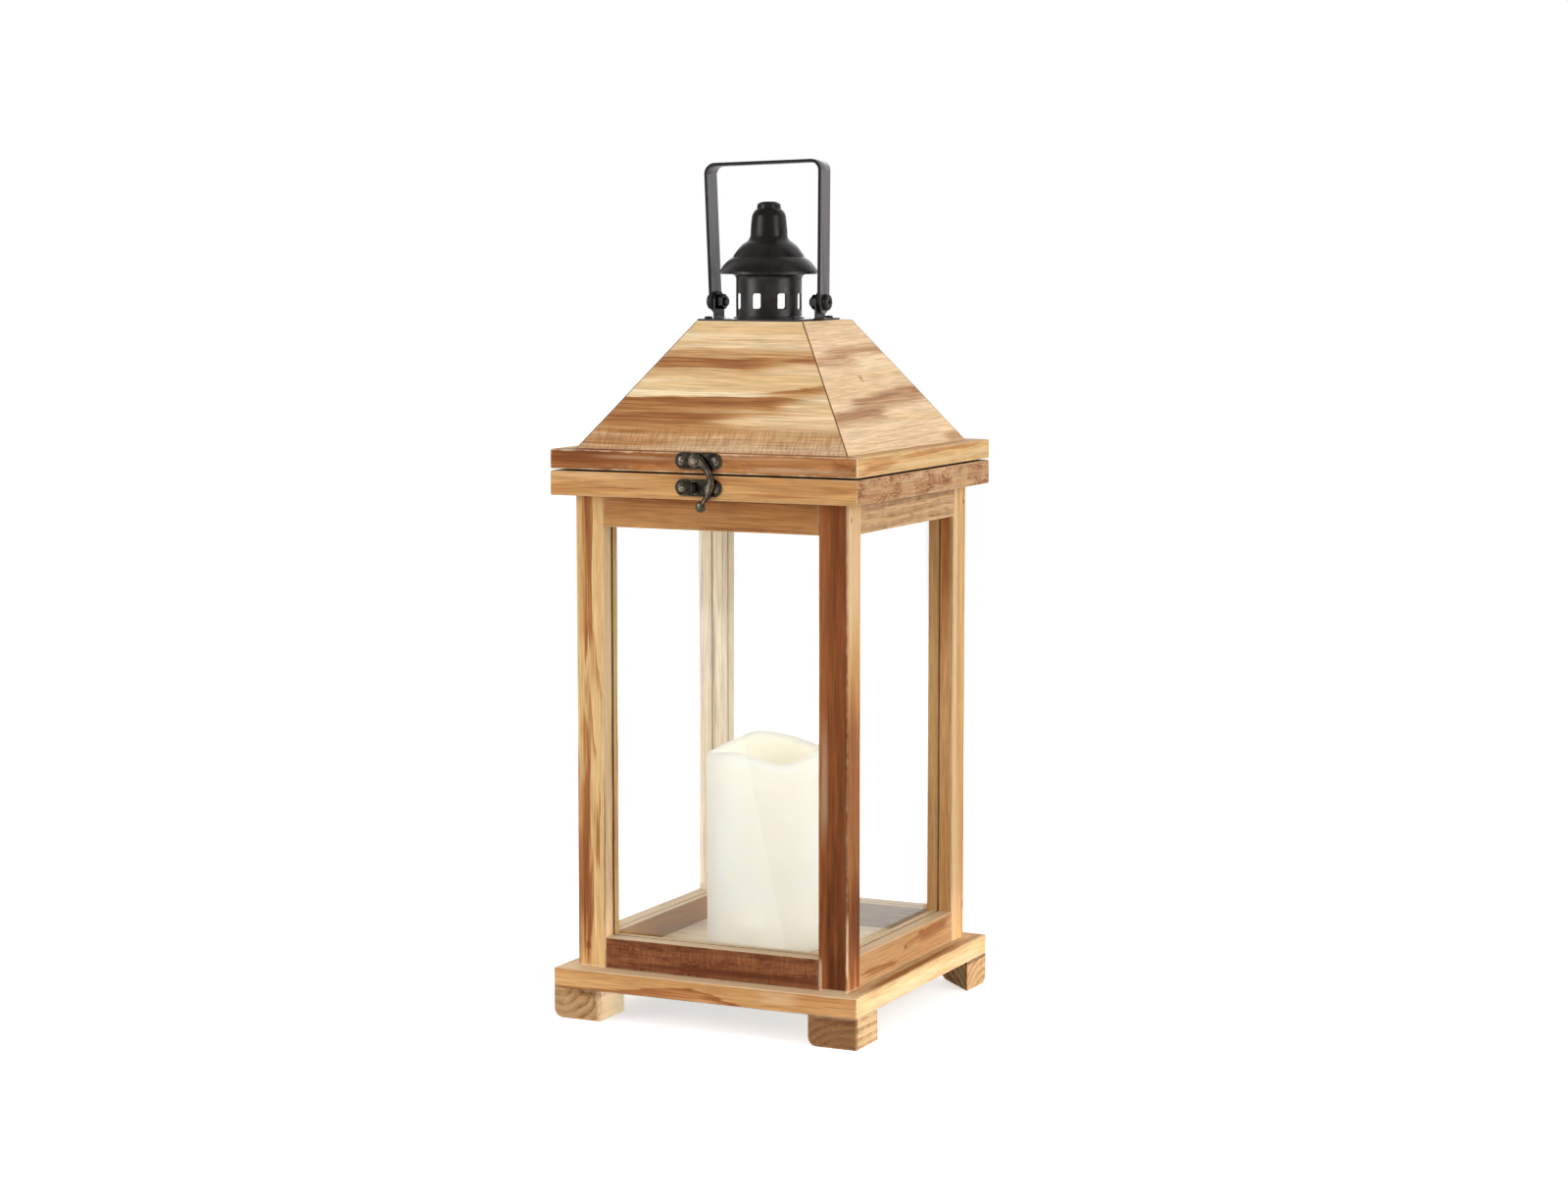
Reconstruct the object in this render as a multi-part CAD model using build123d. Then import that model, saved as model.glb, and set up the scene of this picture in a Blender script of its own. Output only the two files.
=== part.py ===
from build123d import *

import os
from math import atan2, cos, radians, sin

# Hanging lantern: a glazed wooden body on four feet, a hinged roof with a vented metal cap
# and a bail handle, and a battery pillar candle standing inside.
# Millimetres, +X right, -Y front, +Z up, origin on the ground under the middle of the body.

# Base
frame_width = 203.0            # base, collar and lid frames, outside to outside
foot_width = 31.5              # across the grain
foot_length = 31.0             # along the grain
foot_height = 18.5
foot_round = 6.0               # the one rounded bottom edge of each foot
base_rail_width = 36.0
base_rail_height = 12.5
edge_round = 1.0               # softened long edges of the frame boards

# Posts, rails and glass
post_setback = 11.0            # frame's outer face to the post's outer face
post_size = 19.0
post_length = 290.0
post_round = 1.2
bottom_rail_height = 19.0
top_rail_height = 19.0
rail_thickness = 15.5
rail_setback = 0.5             # rail's face behind the post's face
glass_thickness = 2.0
glass_setback = 10.7           # post's outer face to the middle of the pane
groove_depth = 5.0
groove_play = 0.3              # beside the pane, each side
glass_edge_play = 0.5          # beyond the pane's side and top edges
floor_thickness = 4.0
floor_play = 0.5

# Collar and lid frames, roof
collar_rail_width = 30.0
collar_height = 15.0
lid_gap = 1.0
lid_rail_width = 30.0
lid_rail_height = 12.0
roof_setback = 11.5            # frame's outer face to the foot of the roof
roof_top_width = 71.5
roof_height = 76.0
roof_board_thickness = 10.0

# Cap plate with its two upturned ears
cap_offset_x = -2.5            # the whole cap sits a little left of the roof's middle
cap_offset_y = -3.0            # and a little towards the front
ear_inset = 0.75               # half the roof's top width less half the width over the ears
ear_width = 13.0
ear_shoulder = 2.0             # plate's end to the ear's outer face
plate_side_inset = 3.75        # roof's top edges to the plate's front and back edges
cap_plate_thickness = 1.2
bend_radius = 1.2
pivot_height = 11.2            # roof's top to the handle's pivot
cap_screw_end_inset = 4.5      # plate's ends to the screws
cap_screw_side_inset = 6.0     # plate's front and back edges to the screws
cap_screw_radius = 1.4
cap_screw_length = 5.0
cap_screw_head_radius = 2.5
cap_screw_head_height = 1.4

# Chimney
sheet_thickness = 0.8
chimney_radius = 20.2
chimney_height = 27.8
chimney_foot_flange = 1.4
chimney_foot_bend = 0.8
chimney_flare = 3.0            # bend radius of the flared top
chimney_vent_radius = 17.0     # hole through the plate under the chimney
window_count = 8
window_width = 5.8
window_height = 10.0
window_sill = 5.4              # chimney's foot to the bottom of a window
window_corner = 1.6
window_turn = 4.0              # first window from the front towards the right, degrees

# Spun cap, from the brim upwards: how far each stretch goes in and how far it climbs
brim_side_room = 4.7           # ear's outer face to the brim
brim_hem = 2.5                 # flat ring under the brim
brim_lip = 0.8
upper_roll_foot_radius = 22.4  # the lower roll runs in from the brim to here
lower_roll_rise = 8.8
lower_roll_bulge = 0.7
upper_roll_run = 8.8
upper_roll_rise = 9.7
upper_roll_bulge = 0.8
throat_run = 2.2
throat_rise = 5.0
throat_bulge = -0.7
bell_taper = 0.8
bell_rise = 9.0
bell_bulge = 0.1
shoulder_run = 3.1
shoulder_rise = 5.7
shoulder_bulge = 0.7
button_taper = 0.4
button_rise = 2.7
crown_run = 3.2                # shallow dome round the flat top
crown_rise = 1.7
crown_bulge = 0.3

# Bail handle and its pivots
bail_width = 14.0
bail_thickness = 2.0
bail_side_play = 0.7           # ear to leg at the pivot
bail_rise = 86.8               # pivot to the top of the bar at its right end
bail_drop_left = 2.2           # how much lower its left end is
bail_lean_left = 3.6           # how far each leg leans out at the top
bail_lean_right = 0.6
bail_corner = 7.0              # outer radius of the two bends
running_clearance = 0.08
bolt_radius = 2.5
bolt_head_radius = 5.0
bolt_head_height = 3.0
bolt_head_play = 0.3           # leg to the underside of the head
bolt_tip = 1.5                 # thread showing past the nut
nut_across_flats = 8.0
nut_height = 4.0
drive_width = 1.1              # arms of the cross recess in bolts and pan screws
drive_length = 4.4
drive_depth = 1.2

# Latch on the front
hardware_thickness = 1.2       # latch plates and hinge leaves
latch_plate_length = 30.5
latch_plate_height = 10.4
latch_screw_spacing = 22.6
latch_x = -1.2                 # middle of both plates
latch_lift = 1.4               # latch plate above the middle of the lid's rail
boss_radius = 3.6              # raised pad under the hook's eye
boss_height = 0.7
rivet_offset = 1.3             # plate's middle to the rivet, to the left
rivet_radius = 1.5
rivet_head_radius = 2.6
rivet_head_height = 1.5
rivet_head_round = 1.2
hook_thickness = 2.0
hook_boss_play = 0.25
hook_eye_radius = 4.4
hook_reach = 12.9              # rivet to the outside of the belly
hook_belly_drop = 12.4
hook_waist_reach = 7.8         # rivet to the inside of the belly
hook_waist_drop = 9.4
spur_reach = 5.2
spur_drop = 14.0
tail_x = 4.1                   # rivet to the round tail, sideways
tail_drop = 27.0
tail_radius = 3.3
tail_neck = 2.4                # width of the arm above the tail
tail_sink = 0.7                # how deep the arm runs into the round tail
hook_top_angle = 45.0          # where the arm's outer edge leaves the eye
hook_inner_angle = -40.0       # where its inner edge leaves the eye
hook_bow = 0.6                 # how far the inner edges bow out
keeper_post_width = 4.6
keeper_post_height = 7.0
keeper_post_depth = 3.4
keeper_post_round = 1.4
keeper_post_shift = 1.3        # post's middle left of the rivet

# Butt hinges on the back, and the screws that hold all the small brassware
hinge_offset = 60.0            # middle of the back to the middle of each hinge
hinge_length = 24.0
hinge_leaf_height = 9.5        # pin's axis to the free edge of a leaf
knuckle_radius = 2.3
knuckle_play = 0.2
hinge_standoff = 0.1           # back face to the knuckles
hinge_pin_radius = 1.1
hinge_screw_spacing = 14.0
screw_radius = 1.2
screw_head_radius = 2.5
screw_dome = 0.6
screw_length = 9.0
screw_drive_width = 0.6
screw_drive_length = 2.8
screw_drive_depth = 0.7

# Candle
candle_x = -4.5                # it stands a little left of the middle
candle_radius = 38.1
candle_height = 130.0
recess_radius = 31.0
recess_depth = 26.0
rim_dip_radius = 55.0
rim_dips = ((50.0, 11.5), (283.0, 8.5))   # angle from the front towards the right, depth
battery_cavity_radius = 29.0
box_play = 0.2                 # battery box in its cavity
box_wall = 1.6
box_lift = 1.5                 # underside of the box above the candle's foot
box_floor = 2.6
cell_radius = 7.2
cell_length = 49.5
cell_nub_radius = 2.7
cell_nub_height = 1.0
cell_spacing = 16.0
cell_y = 4.0
contact_thickness = 0.5
contact_width = 9.0
door_margin = 1.4              # door's inner block past the cells
door_lip = 1.4                 # lip past the inner block
door_lip_thickness = 1.0
door_play = 0.15
stem_radius = 4.0
stem_play = 0.2
lamp_sink = 3.0                # top of the stem below the recess
lamp_radius = 2.5
lamp_height = 5.0
lamp_round = 2.4
lamp_flange = 0.5
lamp_flange_height = 1.0
switch_y = -19.0
switch_width = 3.0
switch_length = 3.6
switch_travel = 4.0
switch_play = 0.2
switch_drop = 0.9              # knob below the box's underside
switch_plate_border = 1.5
switch_plate_thickness = 1.2

# Levels and faces that follow
frame_half = frame_width / 2
post_face = frame_half - post_setback
post_inner = post_face - post_size
rail_face = post_face - rail_setback
rail_inner = rail_face - rail_thickness
glass_line = post_face - glass_setback
groove_width = glass_thickness + 2 * groove_play
base_top = foot_height + base_rail_height
post_top = base_top + post_length
collar_top = post_top + collar_height
lid_bottom = collar_top + lid_gap
lid_top = lid_bottom + lid_rail_height
roof_top = lid_top + roof_height
roof_foot_half = frame_half - roof_setback
roof_top_half = roof_top_width / 2
ear_face = roof_top_half - ear_inset
plate_half_x = ear_face - ear_shoulder
plate_half_y = roof_top_half - plate_side_inset
plate_top = roof_top + cap_plate_thickness
pivot_z = roof_top + pivot_height
chimney_top = plate_top + chimney_height
brim_radius = ear_face - brim_side_room
leg_inner = ear_face + bail_side_play
leg_outer = leg_inner + bail_thickness
latch_z = lid_bottom + lid_rail_height / 2 + latch_lift
keeper_z = post_top + collar_height / 2
rivet_x = latch_x - rivet_offset
hardware_front = frame_half + hardware_thickness
hook_back = hardware_front + boss_height + hook_boss_play
hook_front = hook_back + hook_thickness
hinge_axis_y = frame_half + hinge_standoff + knuckle_radius
hinge_axis_z = collar_top + lid_gap / 2
leaf_edge = knuckle_radius + knuckle_play
floor_top = base_top + floor_thickness
box_radius = battery_cavity_radius - box_play
box_floor_top = box_lift + box_floor
cell_bottom = box_floor_top + contact_thickness
box_ceiling = cell_bottom + cell_length + cell_nub_height + contact_thickness
box_top = box_ceiling + box_wall
recess_floor = candle_height - recess_depth
stem_top = recess_floor - lamp_sink

SIDES = {"front": 0, "right": 90, "rear": 180, "left": 270}
CORNERS = {"front_left": 0, "front_right": 90, "rear_right": 180, "rear_left": 270}
LOW = (Align.CENTER, Align.CENTER, Align.MIN)
HIGH = (Align.CENTER, Align.CENTER, Align.MAX)


def block(x0, x1, y0, y1, z0, z1):
    """A box between two corners."""
    return Pos(x0, y0, z0) * Box(x1 - x0, y1 - y0, z1 - z0, align=Align.MIN)


def rod(radius, start, direction, length):
    """A round bar from a point along a direction."""
    return Plane(origin=start, z_dir=direction) * Cylinder(radius, length, align=LOW)


def turned(shape, side):
    """A piece modelled at the front, turned about the vertical to another side."""
    return Rot(Z=SIDES[side]) * shape


def cross_cut(width, length, depth):
    """The cross recess of a screw head, sunk below z = 0 and open above it."""
    arm = Box(length, width, 2 * depth)
    return arm + Rot(Z=90) * arm


# Body

def foot(corner):
    """A block cut from a moulding with one rounded edge; the back ones are turned and cut to a triangle."""
    profile = Rectangle(foot_width, foot_height)
    outer_edge = profile.vertices().group_by(Axis.Y)[0].sort_by(Axis.X)[0]
    profile = fillet(outer_edge, foot_round)
    piece = Pos(0, 0, foot_height / 2) * extrude(Plane.XZ * profile, foot_length / 2, both=True)
    x_side = -1 if "left" in corner else 1
    if "front" in corner:
        return Pos(x_side * (frame_half - foot_width / 2), -frame_half + foot_length / 2) * piece
    piece = Pos(x_side * (frame_half - foot_length / 2), frame_half - foot_width / 2) * Rot(Z=-90) * piece
    inner_face = Plane(origin=(x_side * frame_half, frame_half - foot_length, 0), z_dir=(x_side, 1, 0))
    return split(piece, bisect_by=inner_face, keep=Keep.TOP)


def mitred_rail(rail_width, height, bottom):
    """The front board of a square frame, its ends cut at 45 degrees."""
    inner = frame_half - rail_width
    corners = [(-frame_half, -frame_half), (frame_half, -frame_half), (inner, -inner), (-inner, -inner)]
    board = extrude(make_face(Polyline(*corners, close=True)), height)
    long_edges = board.edges().filter_by(Axis.X).group_by(Axis.Y)[0]
    return Pos(0, 0, bottom) * fillet(long_edges, min(edge_round, height / 3))


def floor_panel():
    """The thin board between the bottom rails that the candle stands on."""
    half = rail_inner - floor_play
    panel = block(-half, half, -half, half, base_top, floor_top)
    for turn in CORNERS.values():
        corner = block(post_inner - floor_play, half, post_inner - floor_play, half, base_top, floor_top)
        panel -= Rot(Z=turn) * corner
    return panel


def corner_post():
    """The front left post, with a groove for each of its two panes."""
    middle = post_face - post_size / 2
    post = Box(post_size, post_size, post_length, align=LOW)
    post = Pos(-middle, -middle, base_top) * fillet(post.edges().filter_by(Axis.Z), post_round)
    groove = block(-post_inner - groove_depth, -post_inner,
                   -glass_line - groove_width / 2, -glass_line + groove_width / 2,
                   base_top, post_top)
    return post - groove - mirror(groove, about=Plane(origin=(0, 0, 0), z_dir=(1, -1, 0)))


def glazed_rail(bottom, height, groove_bottom):
    """A front rail between two posts, with its pane's groove cut from groove_bottom up."""
    rail = block(-post_inner, post_inner, -rail_face, -rail_inner, bottom, bottom + height)
    groove = block(-post_inner, post_inner, -glass_line - groove_width / 2, -glass_line + groove_width / 2,
                   groove_bottom, groove_bottom + groove_depth)
    return rail - groove


def glass_pane():
    """The front pane, standing on the bottom of its groove."""
    half = post_inner + groove_depth - glass_edge_play
    bottom = base_top + bottom_rail_height - groove_depth
    top = post_top - top_rail_height + groove_depth - glass_edge_play
    return block(-half, half, -glass_line - glass_thickness / 2, -glass_line + glass_thickness / 2,
                 bottom, top)


# Roof

def roof_board():
    """The front roof board: a sloped plank between two mitre planes."""
    slope = atan2(roof_height, roof_foot_half - roof_top_half)
    thickness = roof_board_thickness / sin(slope)
    section = Polyline((-roof_foot_half, lid_top), (-roof_foot_half + thickness, lid_top),
                       (-roof_top_half + thickness, roof_top), (-roof_top_half, roof_top), close=True)
    plank = extrude(make_face(Plane.YZ * section), roof_foot_half, both=True)
    for normal in ((1, 1, 0), (-1, 1, 0)):
        plank = split(plank, bisect_by=Plane(origin=(0, 0, 0), z_dir=normal), keep=Keep.BOTTOM)
    return plank


def cap_screw_places():
    """The four screws of the cap plate, near its corners, heads on the plate."""
    x = plate_half_x - cap_screw_end_inset
    y = plate_half_y - cap_screw_side_inset
    return [Pos(cap_offset_x + sx * x, cap_offset_y + sy * y, plate_top) for sx in (-1, 1) for sy in (-1, 1)]


def pan_screw_shank():
    """The shank below the head of a cap screw."""
    return Cylinder(cap_screw_radius, cap_screw_length, align=HIGH)


def cap_screw():
    """A pan-head screw with its head's underside at z = 0."""
    head = Cylinder(cap_screw_head_radius, cap_screw_head_height, align=LOW)
    head = fillet(head.edges().group_by(Axis.Z)[-1], cap_screw_head_height / 2)
    drive = cross_cut(screw_drive_width, screw_drive_length, screw_drive_depth)
    return head + pan_screw_shank() - Pos(0, 0, cap_screw_head_height) * drive


def cap_ear():
    """The right ear: a strip of the plate bent up, with a round end about the pivot."""
    root = plate_half_x - bend_radius - cap_plate_thickness
    outline = Polyline((root, 0), (ear_face, 0), (ear_face, pivot_height + ear_width / 2),
                       (ear_face - cap_plate_thickness, pivot_height + ear_width / 2),
                       (ear_face - cap_plate_thickness, cap_plate_thickness), (root, cap_plate_thickness),
                       close=True)
    face = make_face(Plane.XZ * outline)
    outer_bend = face.vertices().group_by(Axis.Z)[0].sort_by(Axis.X)[-1]
    inner_bend = face.vertices().group_by(Axis.Z)[1].sort_by(Axis.X)[-1]
    face = fillet(outer_bend, bend_radius + cap_plate_thickness)
    inner_bend = face.vertices().sort_by_distance(inner_bend)[0]
    face = fillet(inner_bend, bend_radius)
    strip = extrude(face, ear_width / 2, both=True)
    below = block(0, 2 * ear_face, -ear_width, ear_width, 0, pivot_height)
    round_end = rod(ear_width / 2, (0, 0, pivot_height), (1, 0, 0), 2 * ear_face)
    return strip & (below + round_end)


def cap_plate():
    """The sheet plate on the roof, with its vent hole, screw holes and two ears."""
    plate = block(-plate_half_x, plate_half_x, -plate_half_y, plate_half_y, 0, cap_plate_thickness)
    ear = cap_ear()
    plate = plate + ear + Rot(Z=180) * ear
    plate -= Cylinder(chimney_vent_radius, 3 * cap_plate_thickness)
    plate -= rod(bolt_radius, (-2 * ear_face, 0, pivot_height), (1, 0, 0), 4 * ear_face)
    plate = Pos(cap_offset_x, cap_offset_y, roof_top) * plate
    for place in cap_screw_places():
        plate -= place * pan_screw_shank()
    return plate


def chimney():
    """A sheet tube with a flange at its foot, a flared flange at its top and a ring of windows."""
    inner = chimney_radius - sheet_thickness
    foot_edge = chimney_radius + chimney_foot_flange
    top_edge = brim_radius - brim_lip
    neck = chimney_height - sheet_thickness
    section = make_face(Plane.XZ * Polyline(
        (inner, 0), (foot_edge, 0), (foot_edge, sheet_thickness), (chimney_radius, sheet_thickness),
        (chimney_radius, neck), (top_edge, neck), (top_edge, chimney_height), (inner, chimney_height),
        close=True))
    bends = (((inner, 0), chimney_foot_bend + sheet_thickness),
             ((chimney_radius, sheet_thickness), chimney_foot_bend),
             ((chimney_radius, neck), chimney_flare),
             ((inner, chimney_height), chimney_flare + sheet_thickness))
    for (x, z), radius in bends:
        section = fillet(section.vertices().sort_by_distance((x, 0, z))[0], radius)
    tube = revolve(section, Axis.Z)
    window = RectangleRounded(window_width, window_height, window_corner)
    middle = window_sill + window_height / 2
    cut = extrude(Plane(origin=(0, 0, middle), x_dir=(1, 0, 0), z_dir=(0, -1, 0)) * window, foot_edge)
    for index in range(window_count):
        tube -= Rot(Z=window_turn + index * 360 / window_count) * cut
    return Pos(cap_offset_x, cap_offset_y, plate_top) * tube


def cap_body(shift, bottom):
    """The cap as a filled turned shape from bottom up, its outline moved in and down by shift."""
    runs = ((brim_radius - upper_roll_foot_radius, lower_roll_rise, lower_roll_bulge),
            (upper_roll_run, upper_roll_rise, upper_roll_bulge),
            (throat_run, throat_rise, throat_bulge),
            (bell_taper, bell_rise, bell_bulge),
            (shoulder_run, shoulder_rise, shoulder_bulge),
            (button_taper, button_rise, 0),
            (crown_run, crown_rise, crown_bulge))
    r, z = brim_radius - shift, brim_lip - shift
    edges = Line((r, 0, -brim_lip), (r, 0, z))
    for run, rise, bulge in runs:
        start, end = (r, 0, z), (r - run, 0, z + rise)
        length = (run ** 2 + rise ** 2) ** 0.5
        middle = (r - run / 2 + bulge * rise / length, 0, z + rise / 2 + bulge * run / length)
        edges += ThreePointArc(start, middle, end) if bulge else Line(start, end)
        r, z = r - run, z + rise
    edges += Polyline((r, 0, z), (0, 0, z), (0, 0, -brim_lip), (brim_radius - shift, 0, -brim_lip))
    filled = revolve(make_face(edges), Axis.Z)
    return split(filled, bisect_by=Plane.XY.offset(bottom), keep=Keep.TOP)


def chimney_cap():
    """The spun cap: a thin shell with a flat hem that sits on the chimney's flange."""
    cap = cap_body(0, 0) - cap_body(sheet_thickness, sheet_thickness)
    cap -= Cylinder(brim_radius - brim_hem, 3 * sheet_thickness)
    return Pos(cap_offset_x, cap_offset_y, chimney_top) * cap


# Bail handle

def bail_handle():
    """A flat strip bent into a U, its left leg shorter and leaning out, with round ends at the pivots."""
    end = -bail_width / 2

    def outline(offset, top):
        points = []
        for side, lean, z in ((-1, bail_lean_left, end), (-1, bail_lean_left, top - bail_drop_left),
                              (1, bail_lean_right, top), (1, bail_lean_right, end)):
            points.append((side * (leg_inner + offset + lean * z / bail_rise), z))
        return make_face(Polyline(*points, close=True))

    outer = outline(bail_thickness, bail_rise)
    inner = outline(0, bail_rise - bail_thickness)
    outer = fillet(outer.vertices().sort_by(Axis.Y)[-2:], bail_corner)
    inner = fillet(inner.vertices().sort_by(Axis.Y)[-2:], bail_corner - bail_thickness)
    bail = extrude(Plane.XZ * (outer - inner), bail_width / 2, both=True)
    reach = 2 * leg_outer
    keep = block(-reach, reach, -bail_width, bail_width, 0, 2 * bail_rise)
    keep += rod(bail_width / 2, (-reach, 0, 0), (1, 0, 0), 2 * reach)
    bail = bail & keep
    bail -= rod(bolt_radius + running_clearance, (-reach, 0, 0), (1, 0, 0), 2 * reach)
    return Pos(cap_offset_x, cap_offset_y, pivot_z) * bail


def both_pivots(piece):
    """Two copies of a piece modelled along +Z from x = 0, set on the right and left pivots."""
    right = Pos(0, 0, pivot_z) * Rot(Y=90) * piece
    return [Pos(cap_offset_x, cap_offset_y) * pivot for pivot in (right, Rot(Z=180) * right)]


def bail_bolt():
    """A pan-head bolt: head outside the leg, shank through leg, ear and nut."""
    seat = leg_outer + bolt_head_play
    tip = ear_face - cap_plate_thickness - nut_height - bolt_tip
    head = Cylinder(bolt_head_radius, bolt_head_height, align=LOW)
    head = fillet(head.edges().group_by(Axis.Z)[-1], bolt_head_height / 2)
    head -= Pos(0, 0, bolt_head_height) * cross_cut(drive_width, drive_length, drive_depth)
    return Pos(0, 0, seat) * head + rod(bolt_radius, (0, 0, tip), (0, 0, 1), seat - tip)


def bail_nut():
    """A hexagon nut against the inside of the ear."""
    outline = RegularPolygon(nut_across_flats / 2, 6, major_radius=False) - Circle(bolt_radius)
    seat = ear_face - cap_plate_thickness
    return Pos(0, 0, seat - nut_height) * extrude(outline, nut_height)


# Small hardware

def oval_screw(dome):
    """A raised countersunk screw, its countersink's rim at z = 0, as a plain turned shape."""
    tip = -hardware_thickness - screw_length
    edges = Polyline((screw_head_radius, 0, 0), (screw_radius, 0, -hardware_thickness),
                     (screw_radius, 0, tip + screw_radius), (0, 0, tip), (0, 0, dome))
    if dome:
        sphere = (screw_head_radius ** 2 + dome ** 2) / (2 * dome)
        half = screw_head_radius / 2
        halfway = (half, 0, (sphere ** 2 - half ** 2) ** 0.5 - sphere + dome)
        edges += ThreePointArc((0, 0, dome), halfway, (screw_head_radius, 0, 0))
    else:
        edges += Line((0, 0, 0), (screw_head_radius, 0, 0))
    return revolve(make_face(edges), Axis.Z)


def hardware_screw():
    """A finished hardware screw with its cross recess."""
    drive = Pos(0, 0, screw_dome) * cross_cut(screw_drive_width, screw_drive_length, screw_drive_depth)
    return oval_screw(screw_dome) - drive


def front_screw_places(x_middle, z, spacing):
    """Two screws side by side on the front face of a plate, heads outwards."""
    return [Plane(origin=(x_middle + side * spacing / 2, -hardware_front, z), z_dir=(0, -1, 0)).location
            for side in (-1, 1)]


def latch_screw_places():
    """The two screws of the latch plate."""
    return front_screw_places(latch_x, latch_z, latch_screw_spacing)


def keeper_screw_places():
    """The two screws of the keeper plate."""
    return front_screw_places(latch_x, keeper_z, latch_screw_spacing)


def hinge_screw_places(up):
    """The screws of the leaves above (up = 1) or below (up = -1) the pins, on the back."""
    z = hinge_axis_z + up * (leaf_edge + hinge_leaf_height) / 2
    places = []
    for side in (-1, 1):
        for place in front_screw_places(side * hinge_offset, z, hinge_screw_spacing):
            places.append(Rot(Z=180) * place)
    return places


def drilled(piece, places):
    """A plate or board with its screw holes and countersinks."""
    for place in places:
        piece -= place * oval_screw(0)
    return piece


def front_plate(z):
    """A plate with round ends on the front."""
    outline = SlotOverall(latch_plate_length, latch_plate_height)
    return extrude(Plane.XZ.offset(frame_half) * Pos(latch_x, z) * outline, hardware_thickness)


def latch_plate():
    """The upper plate, on the lid, with the raised pad that the hook turns on."""
    plate = front_plate(latch_z)
    plate += rod(boss_radius, (rivet_x, -hardware_front, latch_z), (0, -1, 0), boss_height)
    plate -= rod(rivet_radius, (rivet_x, -frame_half, latch_z), (0, -1, 0), hook_front - frame_half)
    return drilled(plate, latch_screw_places())


def keeper_plate():
    """The lower plate, on the collar, with the post that the hook swings up to."""
    outline = SlotOverall(keeper_post_height, keeper_post_width, rotation=90)
    base = Plane.XZ.offset(hardware_front) * Pos(rivet_x - keeper_post_shift, keeper_z) * outline
    post = extrude(base, keeper_post_depth)
    post = fillet(post.edges().group_by(Axis.Y)[0], keeper_post_round)
    return drilled(front_plate(keeper_z) + post, keeper_screw_places())


def latch_rivet():
    """The rivet through the plate and the hook's eye, with a domed head."""
    shank = rod(rivet_radius, (rivet_x, -frame_half, latch_z), (0, -1, 0), hook_front - frame_half)
    head = Cylinder(rivet_head_radius, rivet_head_height, align=LOW)
    head = fillet(head.edges().group_by(Axis.Z)[-1], rivet_head_round)
    seat = hook_front + running_clearance
    neck = rod(rivet_radius, (rivet_x, -hook_front, latch_z), (0, -1, 0), running_clearance)
    return shank + neck + Plane(origin=(rivet_x, -seat, latch_z), z_dir=(0, -1, 0)) * head


def latch_hook():
    """The horn-shaped arm: eye, belly with its inner spur, and a round tail."""
    neck_z = -tail_drop + tail_radius - tail_sink
    top_out, top_in = [(hook_eye_radius * cos(radians(angle)), hook_eye_radius * sin(radians(angle)))
                       for angle in (hook_top_angle, hook_inner_angle)]
    waist = (hook_waist_reach, -hook_waist_drop)
    spur = (spur_reach, -spur_drop)
    below_spur = (hook_waist_reach - tail_neck / 2, -spur_drop - tail_neck)
    tail_in = (tail_x - hook_bow, neck_z)
    tail_out = (tail_x + tail_neck, neck_z)
    edges = ThreePointArc(top_out, (hook_reach, -hook_belly_drop), tail_out)
    edges += Line(tail_out, tail_in)
    edges += ThreePointArc(tail_in, ((tail_in[0] + below_spur[0]) / 2 + hook_bow,
                                     (tail_in[1] + below_spur[1]) / 2), below_spur)
    edges += Polyline(below_spur, spur, waist)
    edges += ThreePointArc(waist, ((waist[0] + top_in[0]) / 2 + hook_bow,
                                   (waist[1] + top_in[1]) / 2 + hook_bow), top_in)
    edges += Line(top_in, top_out)
    outline = make_face(edges) + Circle(hook_eye_radius) + Pos(tail_x, -tail_drop) * Circle(tail_radius)
    outline -= Circle(rivet_radius + running_clearance)
    return extrude(Plane.XZ.offset(hook_back) * Pos(rivet_x, latch_z) * outline, hook_thickness)


def hinge_leaves(up):
    """Both leaves above (up = 1) or below (up = -1) the pins: middle knuckle above, outer two below."""
    third = hinge_length / 3
    bore = hinge_pin_radius + (running_clearance if up > 0 else 0)
    plate_low, plate_high = sorted((up * leaf_edge, up * hinge_leaf_height))
    leaf = block(-hinge_length / 2, hinge_length / 2, frame_half - hinge_axis_y,
                 hardware_front - hinge_axis_y, plate_low, plate_high)
    for step in ((0,) if up > 0 else (-1, 1)):
        half = third / 2 - knuckle_play / 2
        web_low, web_high = sorted((up * hinge_pin_radius, up * (leaf_edge + knuckle_play)))
        leaf += block(step * third - half, step * third + half, frame_half - hinge_axis_y,
                      hardware_front - hinge_axis_y, web_low, web_high)
        leaf += rod(knuckle_radius, (step * third - half, 0, 0), (1, 0, 0), 2 * half)
    leaf -= rod(bore, (-hinge_length, 0, 0), (1, 0, 0), 2 * hinge_length)
    leaves = []
    for side in (-1, 1):
        placed = Pos(side * hinge_offset, hinge_axis_y, hinge_axis_z) * leaf
        near = [p for p in hinge_screw_places(up) if p.position.X * side > 0]
        leaves.append(drilled(placed, near))
    return leaves


def hinge_pins():
    """A plain pin through the knuckles of each hinge."""
    return [rod(hinge_pin_radius, (side * hinge_offset - hinge_length / 2, hinge_axis_y, hinge_axis_z),
                (1, 0, 0), hinge_length) for side in (-1, 1)]


# Candle, modelled about its own axis from its foot up

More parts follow.
